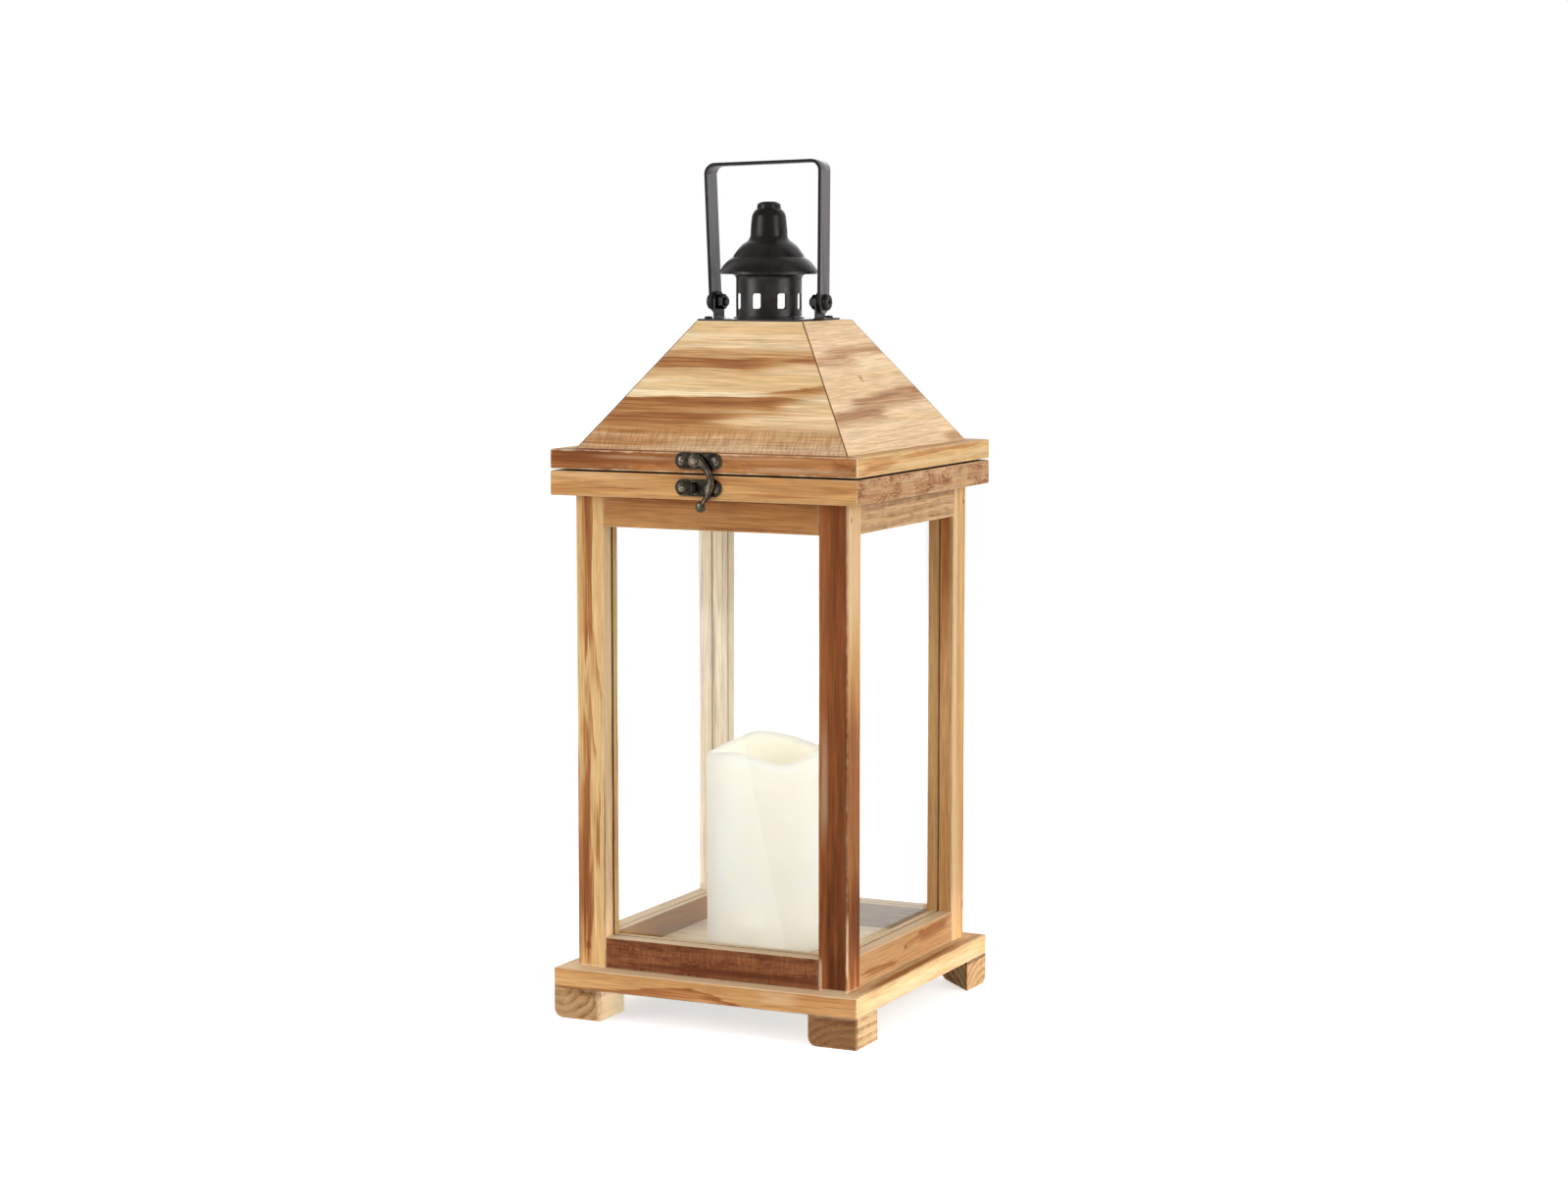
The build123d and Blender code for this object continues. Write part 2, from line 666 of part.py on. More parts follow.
def candle_wax():
    """The wax pillar: a wavy melted rim, a shallow well, and a cavity below for the battery box."""
    wax = Cylinder(candle_radius, candle_height, align=LOW)
    wax -= Pos(0, 0, recess_floor) * Cylinder(recess_radius, candle_height, align=LOW)
    wax -= Cylinder(battery_cavity_radius, box_top, align=LOW)
    wax -= Cylinder(stem_radius + stem_play, candle_height, align=LOW)
    for angle, depth in rim_dips:
        dip = Pos(0, -candle_radius, candle_height - depth + rim_dip_radius) * Sphere(rim_dip_radius)
        wax -= Rot(Z=angle) * dip
    return wax


def door_block():
    """The opening of the battery door: half length and half width of its inner block."""
    return cell_spacing / 2 + cell_radius + door_margin, cell_radius + door_margin


def door_solid(grow):
    """The battery door, or with grow its seat in the box's floor."""
    half_x, half_y = door_block()
    half_x, half_y = half_x + grow, half_y + grow
    inner = block(-half_x, half_x, cell_y - half_y, cell_y + half_y, box_lift, box_floor_top)
    lip_x, lip_y = half_x + door_lip, half_y + door_lip
    lip = block(-lip_x, lip_x, cell_y - lip_y, cell_y + lip_y, box_lift, box_lift + door_lip_thickness)
    return inner + lip


def battery_box():
    """The battery box: a cup with a stem for the lamp, a door opening and a slot for the switch."""
    box = Pos(0, 0, box_lift) * Cylinder(box_radius, box_top - box_lift, align=LOW)
    hollow = Cylinder(box_radius - box_wall, box_ceiling - box_floor_top, align=LOW)
    box -= Pos(0, 0, box_floor_top) * hollow
    box += Pos(0, 0, box_top) * Cylinder(stem_radius, stem_top - box_top, align=LOW)
    box -= door_solid(door_play)
    slot_half = switch_width / 2 + switch_play
    box -= block(-switch_length / 2 - switch_play, switch_length / 2 + switch_travel + switch_play,
                 switch_y - slot_half, switch_y + slot_half, 0, box_floor_top)
    return box


def cell_axes():
    """The middles of the two cells."""
    return [Pos(side * cell_spacing / 2, cell_y, 0) for side in (-1, 1)]


def battery_cells():
    """Two cells side by side, nubs up."""
    cell = Pos(0, 0, cell_bottom) * Cylinder(cell_radius, cell_length, align=LOW)
    cell += Pos(0, 0, cell_bottom + cell_length) * Cylinder(cell_nub_radius, cell_nub_height, align=LOW)
    return [axis * cell for axis in cell_axes()]


def battery_contacts():
    """A bridge under both cells on the door, and a plate over each nub under the box's ceiling."""
    half = contact_width / 2
    bridge = block(-cell_spacing / 2 - half, cell_spacing / 2 + half, cell_y - half, cell_y + half,
                   box_floor_top, cell_bottom)
    plate = block(-half, half, -half, half, box_ceiling - contact_thickness, box_ceiling)
    return [bridge] + [axis * plate for axis in cell_axes()]


def lamp():
    """The domed light that shows in the well."""
    bulb = Cylinder(lamp_radius, lamp_height, align=LOW)
    bulb = fillet(bulb.edges().group_by(Axis.Z)[-1], lamp_round)
    bulb += Cylinder(lamp_radius + lamp_flange, lamp_flange_height, align=LOW)
    return Pos(0, 0, stem_top) * bulb


def candle_switch():
    """The slide switch: a knob through the slot and a plate that rides on the box's floor."""
    half_x, half_y = switch_length / 2, switch_width / 2
    knob = block(-half_x, half_x, switch_y - half_y, switch_y + half_y,
                 box_lift - switch_drop, box_floor_top)
    half_x, half_y = half_x + switch_plate_border, half_y + switch_plate_border
    return knob + block(-half_x, half_x, switch_y - half_y, switch_y + half_y,
                        box_floor_top, box_floor_top + switch_plate_thickness)


# All pieces by name

pieces = {}
for corner, turn in CORNERS.items():
    pieces[f"foot_{corner}"] = foot(corner)
    pieces[f"post_{corner}"] = Rot(Z=turn) * corner_post()

top_rail_bottom = post_top - top_rail_height
bottom_groove = base_top + bottom_rail_height - groove_depth
side_boards = {
    "base_rail": mitred_rail(base_rail_width, base_rail_height, foot_height),
    "bottom_rail": glazed_rail(base_top, bottom_rail_height, bottom_groove),
    "top_rail": glazed_rail(top_rail_bottom, top_rail_height, top_rail_bottom),
    "glass": glass_pane(),
    "collar_rail": mitred_rail(collar_rail_width, collar_height, post_top),
    "lid_rail": mitred_rail(lid_rail_width, lid_rail_height, lid_bottom),
}
for name, board in side_boards.items():
    for side in SIDES:
        pieces[f"{name}_{side}"] = turned(board, side)

roof_blank = roof_board()
for side in SIDES:
    board = turned(roof_blank, side)
    for place in cap_screw_places():
        board -= place * pan_screw_shank()
    pieces[f"roof_board_{side}"] = board

screw_seats = {
    "collar_rail_front": keeper_screw_places(),
    "collar_rail_rear": hinge_screw_places(-1),
    "lid_rail_front": latch_screw_places(),
    "lid_rail_rear": hinge_screw_places(1),
}
for name, places in screw_seats.items():
    pieces[name] = drilled(pieces[name], places)

pieces["floor_panel"] = floor_panel()
pieces["cap_plate"] = cap_plate()
pieces["cap_screws"] = [place * cap_screw() for place in cap_screw_places()]
pieces["chimney"] = chimney()
pieces["chimney_cap"] = chimney_cap()
pieces["bail_handle"] = bail_handle()
pieces["bail_bolts"] = both_pivots(bail_bolt())
pieces["bail_nuts"] = both_pivots(bail_nut())
pieces["latch_plate"] = latch_plate()
pieces["latch_rivet"] = latch_rivet()
pieces["latch_hook"] = latch_hook()
pieces["keeper_plate"] = keeper_plate()
pieces["hinge_body_leaves"] = hinge_leaves(-1)
pieces["hinge_lid_leaves"] = hinge_leaves(1)
pieces["hinge_pins"] = hinge_pins()
screw = hardware_screw()
pieces["body_screws"] = [place * screw for place in keeper_screw_places() + hinge_screw_places(-1)]
pieces["lid_screws"] = [place * screw for place in latch_screw_places() + hinge_screw_places(1)]

candle_pieces = {
    "candle_wax": candle_wax(),
    "battery_box": battery_box(),
    "battery_door": door_solid(0),
    "battery_cells": battery_cells(),
    "battery_contacts": battery_contacts(),
    "lamp": lamp(),
    "candle_switch": candle_switch(),
}
candle_place = Pos(candle_x, 0, floor_top)
for name, shape in candle_pieces.items():
    group = shape if isinstance(shape, list) else [shape]
    pieces[name] = [candle_place * piece for piece in group]

os.makedirs("parts", exist_ok=True)
for name, shape in pieces.items():
    group = shape if isinstance(shape, list) else [shape]
    solids = [solid for piece in group for solid in piece.solids()]
    export_step(Compound(children=solids), f"parts/{name}.step")
    print(name, len(solids), "solids", round(sum(solid.volume for solid in solids), 1), "mm3")
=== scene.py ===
"""Looks of the hanging lantern: scorched pine, clear panes, painted sheet metal, aged latch brass and wax.

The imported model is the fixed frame. Lengths here are millimetres until a mesh or a node takes them,
where MM turns them into metres. +X is right, -Y is the front, +Z is up.
"""

import logging
import math
import random
from collections.abc import Callable, Mapping, Sequence
from dataclasses import dataclass, field, replace
from enum import Enum
from functools import cache

import bmesh
import bpy
from mathutils import Matrix, Quaternion, Vector


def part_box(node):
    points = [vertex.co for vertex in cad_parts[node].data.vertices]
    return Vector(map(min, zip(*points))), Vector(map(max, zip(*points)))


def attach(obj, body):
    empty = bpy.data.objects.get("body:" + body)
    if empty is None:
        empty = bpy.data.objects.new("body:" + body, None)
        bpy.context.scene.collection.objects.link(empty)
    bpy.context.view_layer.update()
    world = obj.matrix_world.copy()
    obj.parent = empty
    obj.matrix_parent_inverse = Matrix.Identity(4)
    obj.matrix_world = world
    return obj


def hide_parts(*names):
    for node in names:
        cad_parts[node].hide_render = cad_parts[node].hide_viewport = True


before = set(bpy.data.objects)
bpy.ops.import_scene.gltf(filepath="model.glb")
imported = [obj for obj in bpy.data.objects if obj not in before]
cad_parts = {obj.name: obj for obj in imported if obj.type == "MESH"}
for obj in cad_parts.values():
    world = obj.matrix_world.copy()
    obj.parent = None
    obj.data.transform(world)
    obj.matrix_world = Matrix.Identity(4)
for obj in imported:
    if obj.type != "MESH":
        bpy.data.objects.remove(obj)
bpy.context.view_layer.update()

MM = 0.001
ORIGIN = (0.0, 0.0, 0.0)
SIDES = ("front", "right", "rear", "left")
CORNERS = ("front_left", "front_right", "rear_right", "rear_left")
ANY = 900.0                      # a reach so long that a scorch mark runs right through
WELD_REACH = 0.002               # how far apart points of a CAD mesh may lie to be joined
EASING_FACETS = 2
EASING_ANGLE = 35.0              # the least angle of an edge that is eased, in degrees
LOG = logging.getLogger("lantern")

Colour = tuple[float, float, float]
Point = tuple[float, float, float]
Socket = bpy.types.NodeSocket
Node = bpy.types.Node
NodeTree = bpy.types.NodeTree
Material = bpy.types.Material
Mesh = bmesh.types.BMesh
Place = Callable[[float, float, float], Vector]


class Tree:
    """Short calls for building one shader node tree."""

    def __init__(self, tree: NodeTree) -> None:
        """Keeps the tree that the calls add to."""
        self.tree = tree

    def node(self, kind: str, **settings: object) -> Node:
        """Adds a node.

        Args:
            kind: The node's type name.
            settings: Properties to set on it.

        Returns:
            The new node.
        """
        made = self.tree.nodes.new(kind)
        for name, value in settings.items():
            setattr(made, name, value)
        return made

    def feed(self, socket: Socket, value: object) -> None:
        """Links an output to a socket, or sets the socket's plain value.

        Args:
            socket: The input.
            value: An output or a plain value.
        """
        if isinstance(value, Socket):
            self.tree.links.new(value, socket)
        else:
            socket.default_value = value

    def fill(self, node: Node, **inputs: object) -> Node:
        """Links or sets a node's inputs.

        Args:
            node: The node.
            inputs: A value or an output for each input's name, with _ for a space.

        Returns:
            The same node.
        """
        for name, value in inputs.items():
            self.feed(node.inputs[name.replace("_", " ")], value)
        return node

    def math(self, operation: str, first: object, second: object = 0.0) -> Socket:
        """Adds a sum of two numbers.

        Args:
            operation: The Math node's operation.
            first: A number or an output.
            second: A number or an output.

        Returns:
            The result's output.
        """
        made = self.node("ShaderNodeMath", operation=operation)
        self.feed(made.inputs[0], first)
        self.feed(made.inputs[1], second)
        return made.outputs[0]

    def vector(self, operation: str, first: object, second: object = ORIGIN) -> Socket:
        """Adds a sum of two vectors.

        Args:
            operation: The Vector Math node's operation.
            first: A vector or an output.
            second: A vector or an output.

        Returns:
            The result's output, a number for LENGTH and DOT_PRODUCT.
        """
        made = self.node("ShaderNodeVectorMath", operation=operation)
        self.feed(made.inputs[0], first)
        self.feed(made.inputs[1], second)
        return made.outputs["Value" if operation in ("LENGTH", "DOT_PRODUCT") else "Vector"]

    def split(self, vector: object) -> list[Socket]:
        """Splits a vector.

        Args:
            vector: A vector or an output.

        Returns:
            The outputs of its three parts.
        """
        made = self.node("ShaderNodeSeparateXYZ")
        self.feed(made.inputs[0], vector)
        return list(made.outputs)

    def mix(self, share: object, first: object, second: object, blend: str = "MIX") -> Socket:
        """Mixes two colours.

        Args:
            share: How much of the second colour shows.
            first: A colour or an output.
            second: A colour or an output.
            blend: The way of mixing.

        Returns:
            The mixed colour's output.
        """
        made = self.node("ShaderNodeMix", data_type="RGBA", blend_type=blend)
        named = {socket.identifier: socket for socket in made.inputs}
        self.feed(named["Factor_Float"], share)
        for name, colour in (("A_Color", first), ("B_Color", second)):
            self.feed(named[name], colour if isinstance(colour, Socket) else (*colour[:3], 1.0))
        return next(socket for socket in made.outputs if socket.identifier == "Result_Color")

    def ease(self, value: object, low: float, high: float, start: float = 0.0, end: float = 1.0) -> Socket:
        """Turns a range of numbers into another one, easing at both ends.

        Args:
            value: The number's output.
            low: Where the range starts.
            high: Where the range ends; it may lie below low.
            start: The result at low.
            end: The result at high.

        Returns:
            The result's output.
        """
        made = self.node("ShaderNodeMapRange", interpolation_type="SMOOTHSTEP")
        self.fill(made, Value=value, From_Min=low, From_Max=high, To_Min=start, To_Max=end)
        return made.outputs["Result"]

    def noise(self, vector: object, size: float, detail: float = 2.0, output: str = "Fac") -> Socket:
        """Adds soft noise.

        Args:
            vector: Where it is read, in metres.
            size: The width of its blobs in millimetres.
            detail: How many finer layers it has.
            output: Fac for a number, Color for three.

        Returns:
            The chosen output.
        """
        made = self.node("ShaderNodeTexNoise")
        return self.fill(made, Vector=vector, Scale=1.0 / (size * MM), Detail=detail).outputs[output]

    def effect(self, group: NodeTree, **inputs: object) -> Node:
        """Places a shared node group and fills its inputs."""
        return self.fill(self.node("ShaderNodeGroup", node_tree=group), **inputs)


class Effect(Tree):
    """A node group in the making, with its inputs and outputs by name."""

    def __init__(self, name: str, inputs: dict[str, object], outputs: Sequence[str]) -> None:
        """Makes the group and its sockets.

        Args:
            name: The group's name.
            inputs: Each input's name and plain value, a number or a vector.
            outputs: The names of the outputs, all numbers.
        """
        super().__init__(bpy.data.node_groups.new(name, "ShaderNodeTree"))
        for label, value in inputs.items():
            kind = "NodeSocketVector" if isinstance(value, tuple) else "NodeSocketFloat"
            made = self.tree.interface.new_socket(name=label, in_out="INPUT", socket_type=kind)
            made.default_value = value
        for label in outputs:
            self.tree.interface.new_socket(name=label, in_out="OUTPUT", socket_type="NodeSocketFloat")
        self.given = self.node("NodeGroupInput").outputs
        self.last = self.node("NodeGroupOutput")

    def put(self, **results: Socket) -> NodeTree:
        """Links the results to the group's outputs and gives the finished group back."""
        self.fill(self.last, **results)
        return self.tree

    def ragged(self) -> Socket:
        """Noise about 0 that makes a rim ragged."""
        return self.math("MULTIPLY", self.math("SUBTRACT", self.noise(self.given["Vector"], 7.0), 0.5), 1.6)

    def laid(self, mark: Socket) -> NodeTree:
        """Finishes the group of a stain.

        Args:
            mark: The stain's share, which is laid over the stains before it.

        Returns:
            The finished group.
        """
        kept = self.math("MULTIPLY", self.math("SUBTRACT", 1.0, mark),
                         self.math("SUBTRACT", 1.0, self.given["Before"]))
        return self.put(Burn=self.math("SUBTRACT", 1.0, kept))


@cache
def grain_figure() -> NodeTree:
    """Rings, fibres, pores and broad shading of solid softwood, with X along the grain.

    Returns:
        The node group.
    """
    g = Effect("grain figure",
               {"Vector": ORIGIN, "Ring Spacing": 0.005, "Pith": ORIGIN, "Wander": 0.006},
               ("Late", "Fibre", "Pore", "Cloud", "Streak", "Thread"))
    place = g.given["Vector"]
    drift = g.noise(g.vector("MULTIPLY", place, (0.16, 1.0, 1.0)), 34.0, 2.0, "Color")
    drift = g.vector("MULTIPLY", g.vector("SUBTRACT", drift, (0.5, 0.5, 0.5)), (0.0, 2.0, 2.0))
    wander = g.node("ShaderNodeCombineXYZ")
    for socket in wander.inputs:
        g.feed(socket, g.given["Wander"])
    bent = g.vector("ADD", place, g.vector("MULTIPLY", drift, wander.outputs[0]))
    _, y, z = g.split(g.vector("SUBTRACT", bent, g.given["Pith"]))
    reach = g.math("SQRT", g.math("ADD", g.math("MULTIPLY", y, y), g.math("MULTIPLY", z, z)))
    turn = g.math("FRACT", g.math("DIVIDE", reach, g.given["Ring Spacing"]))
    late = g.math("MULTIPLY", g.ease(turn, 0.1, 0.86), g.ease(turn, 1.0, 0.9))
    late = g.math("MULTIPLY", late, g.ease(g.noise(bent, 9.0, 1.0), 0.25, 0.7, 0.35, 1.0))
    wavy = g.vector("ADD", place, g.vector("MULTIPLY", drift, (0.0, 0.0012, 0.0012)))

    def drawn(stretch: float, size: float, detail: float) -> Socket:
        """Noise that is drawn out along the grain."""
        return g.noise(g.vector("MULTIPLY", wavy, (stretch, 1.0, 1.0)), size, detail)

    return g.put(Late=late, Fibre=drawn(0.03, 0.8, 2.0), Pore=g.ease(drawn(0.08, 0.9, 1.0), 0.6, 0.74),
                 Cloud=g.ease(drawn(0.05, 10.0, 3.0), 0.34, 0.66), Streak=drawn(0.07, 5.0, 3.0),
                 Thread=drawn(0.03, 1.7, 2.0))


@cache
def scorch_mark() -> NodeTree:
    """A stain of a given place, reach and softness, laid over the stains before it.

    Returns:
        The node group.
    """
    g = Effect("scorch mark",
               {"Vector": ORIGIN, "Centre": ORIGIN, "Reach": (1.0, 1.0, 1.0), "Soft": 0.6,
                "Depth": 1.0, "Fray": 1.0, "Streak": 0.5, "Before": 0.0}, ("Burn",))
    away = g.vector("DIVIDE", g.vector("SUBTRACT", g.given["Vector"], g.given["Centre"]), g.given["Reach"])
    far = g.math("SQRT", g.vector("LENGTH", g.vector("MULTIPLY", away, away)))
    ragged = g.math("MULTIPLY", g.math("SUBTRACT", g.given["Streak"], 0.5), g.given["Fray"])
    inside = g.math("SUBTRACT", 1.1, g.math("ADD", far, ragged))
    mark = g.math("MULTIPLY", g.ease(g.math("DIVIDE", inside, g.given["Soft"]), 0.0, 1.0), g.given["Depth"])
    return g.laid(mark)


@cache
def scorch_band() -> NodeTree:
    """A streak along the grain with one crisp edge, one soft edge and frayed ends.

    Returns:
        The node group.
    """
    g = Effect("scorch band",
               {"Along": 0.0, "Across": 0.0, "Start": 0.0, "End": 1.0, "Ends": 0.02, "Edge": 0.0,
                "Fade": 0.01,
                "Crisp": 0.001, "Slant": 0.0, "Depth": 1.0, "Streak": 0.5, "Thread": 0.5, "Before": 0.0},
               ("Burn",))
    given = g.given
    broad = g.math("SUBTRACT", given["Streak"], 0.5)
    fine = g.math("SUBTRACT", given["Thread"], 0.5)
    climb = g.math("MULTIPLY", g.math("SUBTRACT", given["Along"], given["Start"]), given["Slant"])
    across = g.math("SUBTRACT", given["Across"], g.math("ADD", given["Edge"], climb))
    across = g.math("ADD", across, g.math("MULTIPLY", broad, 5.0 * MM))
    across = g.math("ADD", across, g.math("MULTIPLY", fine, 4.0 * MM))
    share = g.math("DIVIDE", across, given["Fade"])
    crisp = g.math("DIVIDE", given["Crisp"], g.math("ABSOLUTE", given["Fade"]))
    body = g.math("MULTIPLY", g.ease(share, 1.0, 0.15), g.ease(g.math("DIVIDE", share, crisp), -0.5, 0.5))
    along = g.math("ADD", given["Along"], g.math("MULTIPLY", g.math("ADD", broad, fine), 45.0 * MM))
    begun = g.ease(g.math("DIVIDE", g.math("SUBTRACT", along, given["Start"]), given["Ends"]), 0.0, 1.0)
    ended = g.ease(g.math("DIVIDE", g.math("SUBTRACT", given["End"], along), given["Ends"]), 0.0, 1.0)
    mark = g.math("MULTIPLY", g.math("MULTIPLY", body, given["Depth"]), g.math("MULTIPLY", begun, ended))
    return g.laid(g.math("MULTIPLY", mark, g.ease(given["Thread"], 0.34, 0.62, 0.72, 1.0)))


@cache
def board_edges() -> NodeTree:
    """How near a point of a squared board is to one of its edges, with a ragged rim.

    Returns:
        The node group.
    """
    g = Effect("board edges",
               {"Vector": ORIGIN, "Centre": ORIGIN, "Half": (1.0, 1.0, 1.0), "Width": 0.002},
               ("Edge",))
    away = g.vector("ABSOLUTE", g.vector("SUBTRACT", g.given["Vector"], g.given["Centre"]))
    x, y, z = g.split(g.vector("SUBTRACT", g.given["Half"], away))
    near = g.math("MAXIMUM", g.math("MINIMUM", x, y), g.math("MINIMUM", g.math("MAXIMUM", x, y), z))
    share = g.math("ADD", g.math("DIVIDE", near, g.given["Width"]), g.ragged())
    return g.put(Edge=g.ease(share, 1.0, 0.0))


@cache
def hip_edges() -> NodeTree:
    """How near a point of a roof board is to the hips, the eaves and the top.

    Returns:
        The node group.
    """
    g = Effect("hip edges",
               {"Vector": ORIGIN, "Low": 0.0, "High": 1.0, "Width": 0.002}, ("Edge", "Hip"))
    x, y, z = g.split(g.vector("ABSOLUTE", g.given["Vector"]))
    hip = g.math("ABSOLUTE", g.math("MULTIPLY", g.math("SUBTRACT", x, y), math.sqrt(0.5)))
    ends = g.math("MINIMUM", g.math("SUBTRACT", z, g.given["Low"]), g.math("SUBTRACT", g.given["High"], z))
    near = g.math("DIVIDE", g.math("MINIMUM", hip, ends), g.given["Width"])
    return g.put(Edge=g.ease(g.math("ADD", near, g.ragged()), 1.0, 0.0),
                 Hip=g.ease(g.math("DIVIDE", hip, g.given["Width"]), 0.5, 0.1))


@cache
def saw_marks() -> NodeTree:
    """Short strokes across the grain that a saw blade left.

    Returns:
        The node group.
    """
    g = Effect("saw marks", {"Vector": ORIGIN}, ("Stroke",))
    strokes = g.noise(g.vector("MULTIPLY", g.given["Vector"], (1.0, 0.14, 0.14)), 1.3, 2.0)
    return g.put(Stroke=g.ease(strokes, 0.35, 0.68))


@cache
def surface_mottle() -> NodeTree:
    """Broad blotches and a fine tooth for paint, plating, wax and moulded plastic.

    Returns:
        The node group.
    """
    g = Effect("surface mottle", {"Vector": ORIGIN, "Blotch": 0.012, "Tooth": 0.0006},
               ("Blotches", "Teeth"))
    blotches, teeth = [
        g.fill(g.node("ShaderNodeTexNoise"), Vector=g.given["Vector"],
               Scale=g.math("DIVIDE", 1.0, g.given[size]),
               Detail=detail).outputs["Fac"] for size, detail in (("Blotch", 3.0), ("Tooth", 2.0))]
    return g.put(Blotches=g.ease(blotches, 0.3, 0.7), Teeth=teeth)


@cache
def rubbed_edges() -> NodeTree:
    """Where a convex edge of a metal piece has been rubbed bright.

    Returns:
        The node group.
    """
    g = Effect("rubbed edges", {"Vector": ORIGIN, "Radius": 0.0008}, ("Rubbed",))
    bevel = g.fill(g.node("ShaderNodeBevel", samples=4), Radius=g.given["Radius"])
    facing = g.node("ShaderNodeNewGeometry")
    turn = g.vector("DOT_PRODUCT", bevel.outputs[0], facing.outputs["Normal"])
    patch = g.ease(g.noise(g.given["Vector"], 3.0, 3.0), 0.3, 0.62)
    return g.put(Rubbed=g.math("MULTIPLY", g.ease(turn, 0.985, 0.86), patch))


class Surface(Tree):
    """A material in the making, with one Principled shader."""

    def __init__(self, name: str) -> None:
        """Starts the material.

        Args:
            name: The material's name.
        """
        self.material = bpy.data.materials.new(name)
        self.material.use_nodes = True
        super().__init__(self.material.node_tree)
        self.shader = self.tree.nodes["Principled BSDF"]
        self.place = self.node("ShaderNodeTexCoord").outputs["Object"]

    def shade(self, **inputs: object) -> None:
        """Links or sets the shader's inputs."""
        self.fill(self.shader, **inputs)

    def mottle(self, blotch: float, tooth: float,
               stretch: Sequence[float] = (1.0, 1.0, 1.0)) -> Mapping[str, Socket]:
        """Adds blotches and a tooth.

        Args:
            blotch: The width of the blotches in millimetres.
            tooth: The width of the tooth.
            stretch: What the piece's own coordinates are multiplied by.

        Returns:
            The two shares, by name.
        """
        place = self.vector("MULTIPLY", self.place, stretch)
        return self.effect(surface_mottle(), Vector=place, Blotch=blotch * MM, Tooth=tooth * MM).outputs

    def rubbed(self, width: float) -> Socket:
        """Where edges are rubbed, for their width in millimetres."""
        return self.effect(rubbed_edges(), Vector=self.place, Radius=width * MM).outputs["Rubbed"]

    def bump(self, height: Socket, depth: float, strength: float = 0.6) -> None:
        """Feeds a relief to the shader's normal.

        Args:
            height: The relief, from 0 to 1.
            depth: Its depth in millimetres.
            strength: How strongly it shows.
        """
        relief = self.fill(self.node("ShaderNodeBump"), Height=height, Distance=depth * MM, Strength=strength)
        self.shade(Normal=relief.outputs["Normal"])


class Grain(Enum):
    """The direction that a board's grain runs in, as the turn that brings it to X."""

    SIDEWAYS = (0.0, 0.0, 0.0)
    DEEP = (0.0, 0.0, -math.pi / 2)
    UPRIGHT = (0.0, math.pi / 2, 0.0)

    @property
    def axes(self) -> tuple[int, int]:
        """The axes along and across the grain, 0 for X, 1 for Y and 2 for Z."""
        return {"SIDEWAYS": (0, 2), "DEEP": (1, 2), "UPRIGHT": (2, 0)}[self.name]


class Shape(Enum):
    """How a board's edges are found."""

    SQUARED = "squared"
    ROOF = "roof"


@dataclass(frozen=True)
class Palette:
    """The colours of one kind of pine, from its pale wood to its scorched wood.

    Attributes:
        pale: Its palest wood.
        honey: Its darker clouds.
        late: Its ring lines.
        tan: Where it is browned.
        burn: Where it is charred.
    """

    pale: Colour
    honey: Colour
    late: Colour
    tan: Colour
    burn: Colour


STRAW = Palette((0.950, 0.770, 0.505), (0.800, 0.545, 0.280), (0.600, 0.330, 0.135), (0.560, 0.280, 0.105),
                (0.325, 0.122, 0.042))
BUFF = Palette((0.890, 0.665, 0.420), (0.800, 0.560, 0.325), (0.620, 0.380, 0.195), (0.590, 0.350, 0.185),
               (0.400, 0.190, 0.093))
HONEY = Palette((0.710, 0.450, 0.200), (0.610, 0.335, 0.128), (0.440, 0.190, 0.066), (0.490, 0.215, 0.070),
                (0.300, 0.100, 0.031))
GOLD = Palette((0.620, 0.345, 0.133), (0.520, 0.250, 0.085), (0.400, 0.165, 0.055), (0.430, 0.175, 0.057),
               (0.260, 0.090, 0.029))
AMBER = Palette((0.510, 0.230, 0.080), (0.400, 0.155, 0.050), (0.270, 0.090, 0.028), (0.290, 0.096, 0.029),
                (0.190, 0.058, 0.018))
WALNUT = Palette((0.250, 0.088, 0.032), (0.190, 0.058, 0.020), (0.130, 0.038, 0.013), (0.150, 0.045, 0.016),
                 (0.090, 0.027, 0.010))
BLOCK = Palette((0.760, 0.575, 0.330), (0.650, 0.430, 0.205), (0.300, 0.140, 0.052), (0.420, 0.225, 0.090),
                (0.140, 0.055, 0.020))
CREAM = Palette((0.930, 0.770, 0.520), (0.870, 0.690, 0.440), (0.700, 0.500, 0.290), (0.560, 0.380, 0.210),
                (0.420, 0.270, 0.150))
# the pale of rubbed wood, which also paints light on lit faces and edges
BARE_AND_LIT = (0.800, 0.610, 0.390)
SEAM = (0.130, 0.050, 0.020)
PORE = (0.190, 0.075, 0.028)
# the colour of the painted shade in the joints where a board meets the glass or the lid
GAP_SHADE = (0.045, 0.020, 0.008)
LINE_IN_TAN, LINE_IN_CHAR = 0.55, 0.7   # how dark a ring line is in browned and in charred wood
DARK_FIBRE, PALE_FIBRE = 0.74, 1.16     # the shades that the fibres give the wood
FIBRE_TINT = 0.85                       # how much of that shading shows
BOARD_RUB, HIP_RUB = 1.2, 1.4           # the widths of a rubbed edge on a board and on a roof board
STROKE_TONE, RUB_AND_LIGHT_TONE = 0.5, 0.9      # how much a saw mark darkens, and how much a rubbed place or painted light pales the wood
SAWN_FADE = 3.0                         # half the height over which saw marks fade out
PATCH, PATCH_TOOTH = 7.0, 1.2           # the widths of a stained patch and of its tooth
PATCH_STRETCH = 0.3                     # a patch's width as a share of its length along the grain
WOOD_SHINE, WOOD_RELIEF = 0.06, 0.2     # how much bare wood mirrors, and its relief in millimetres


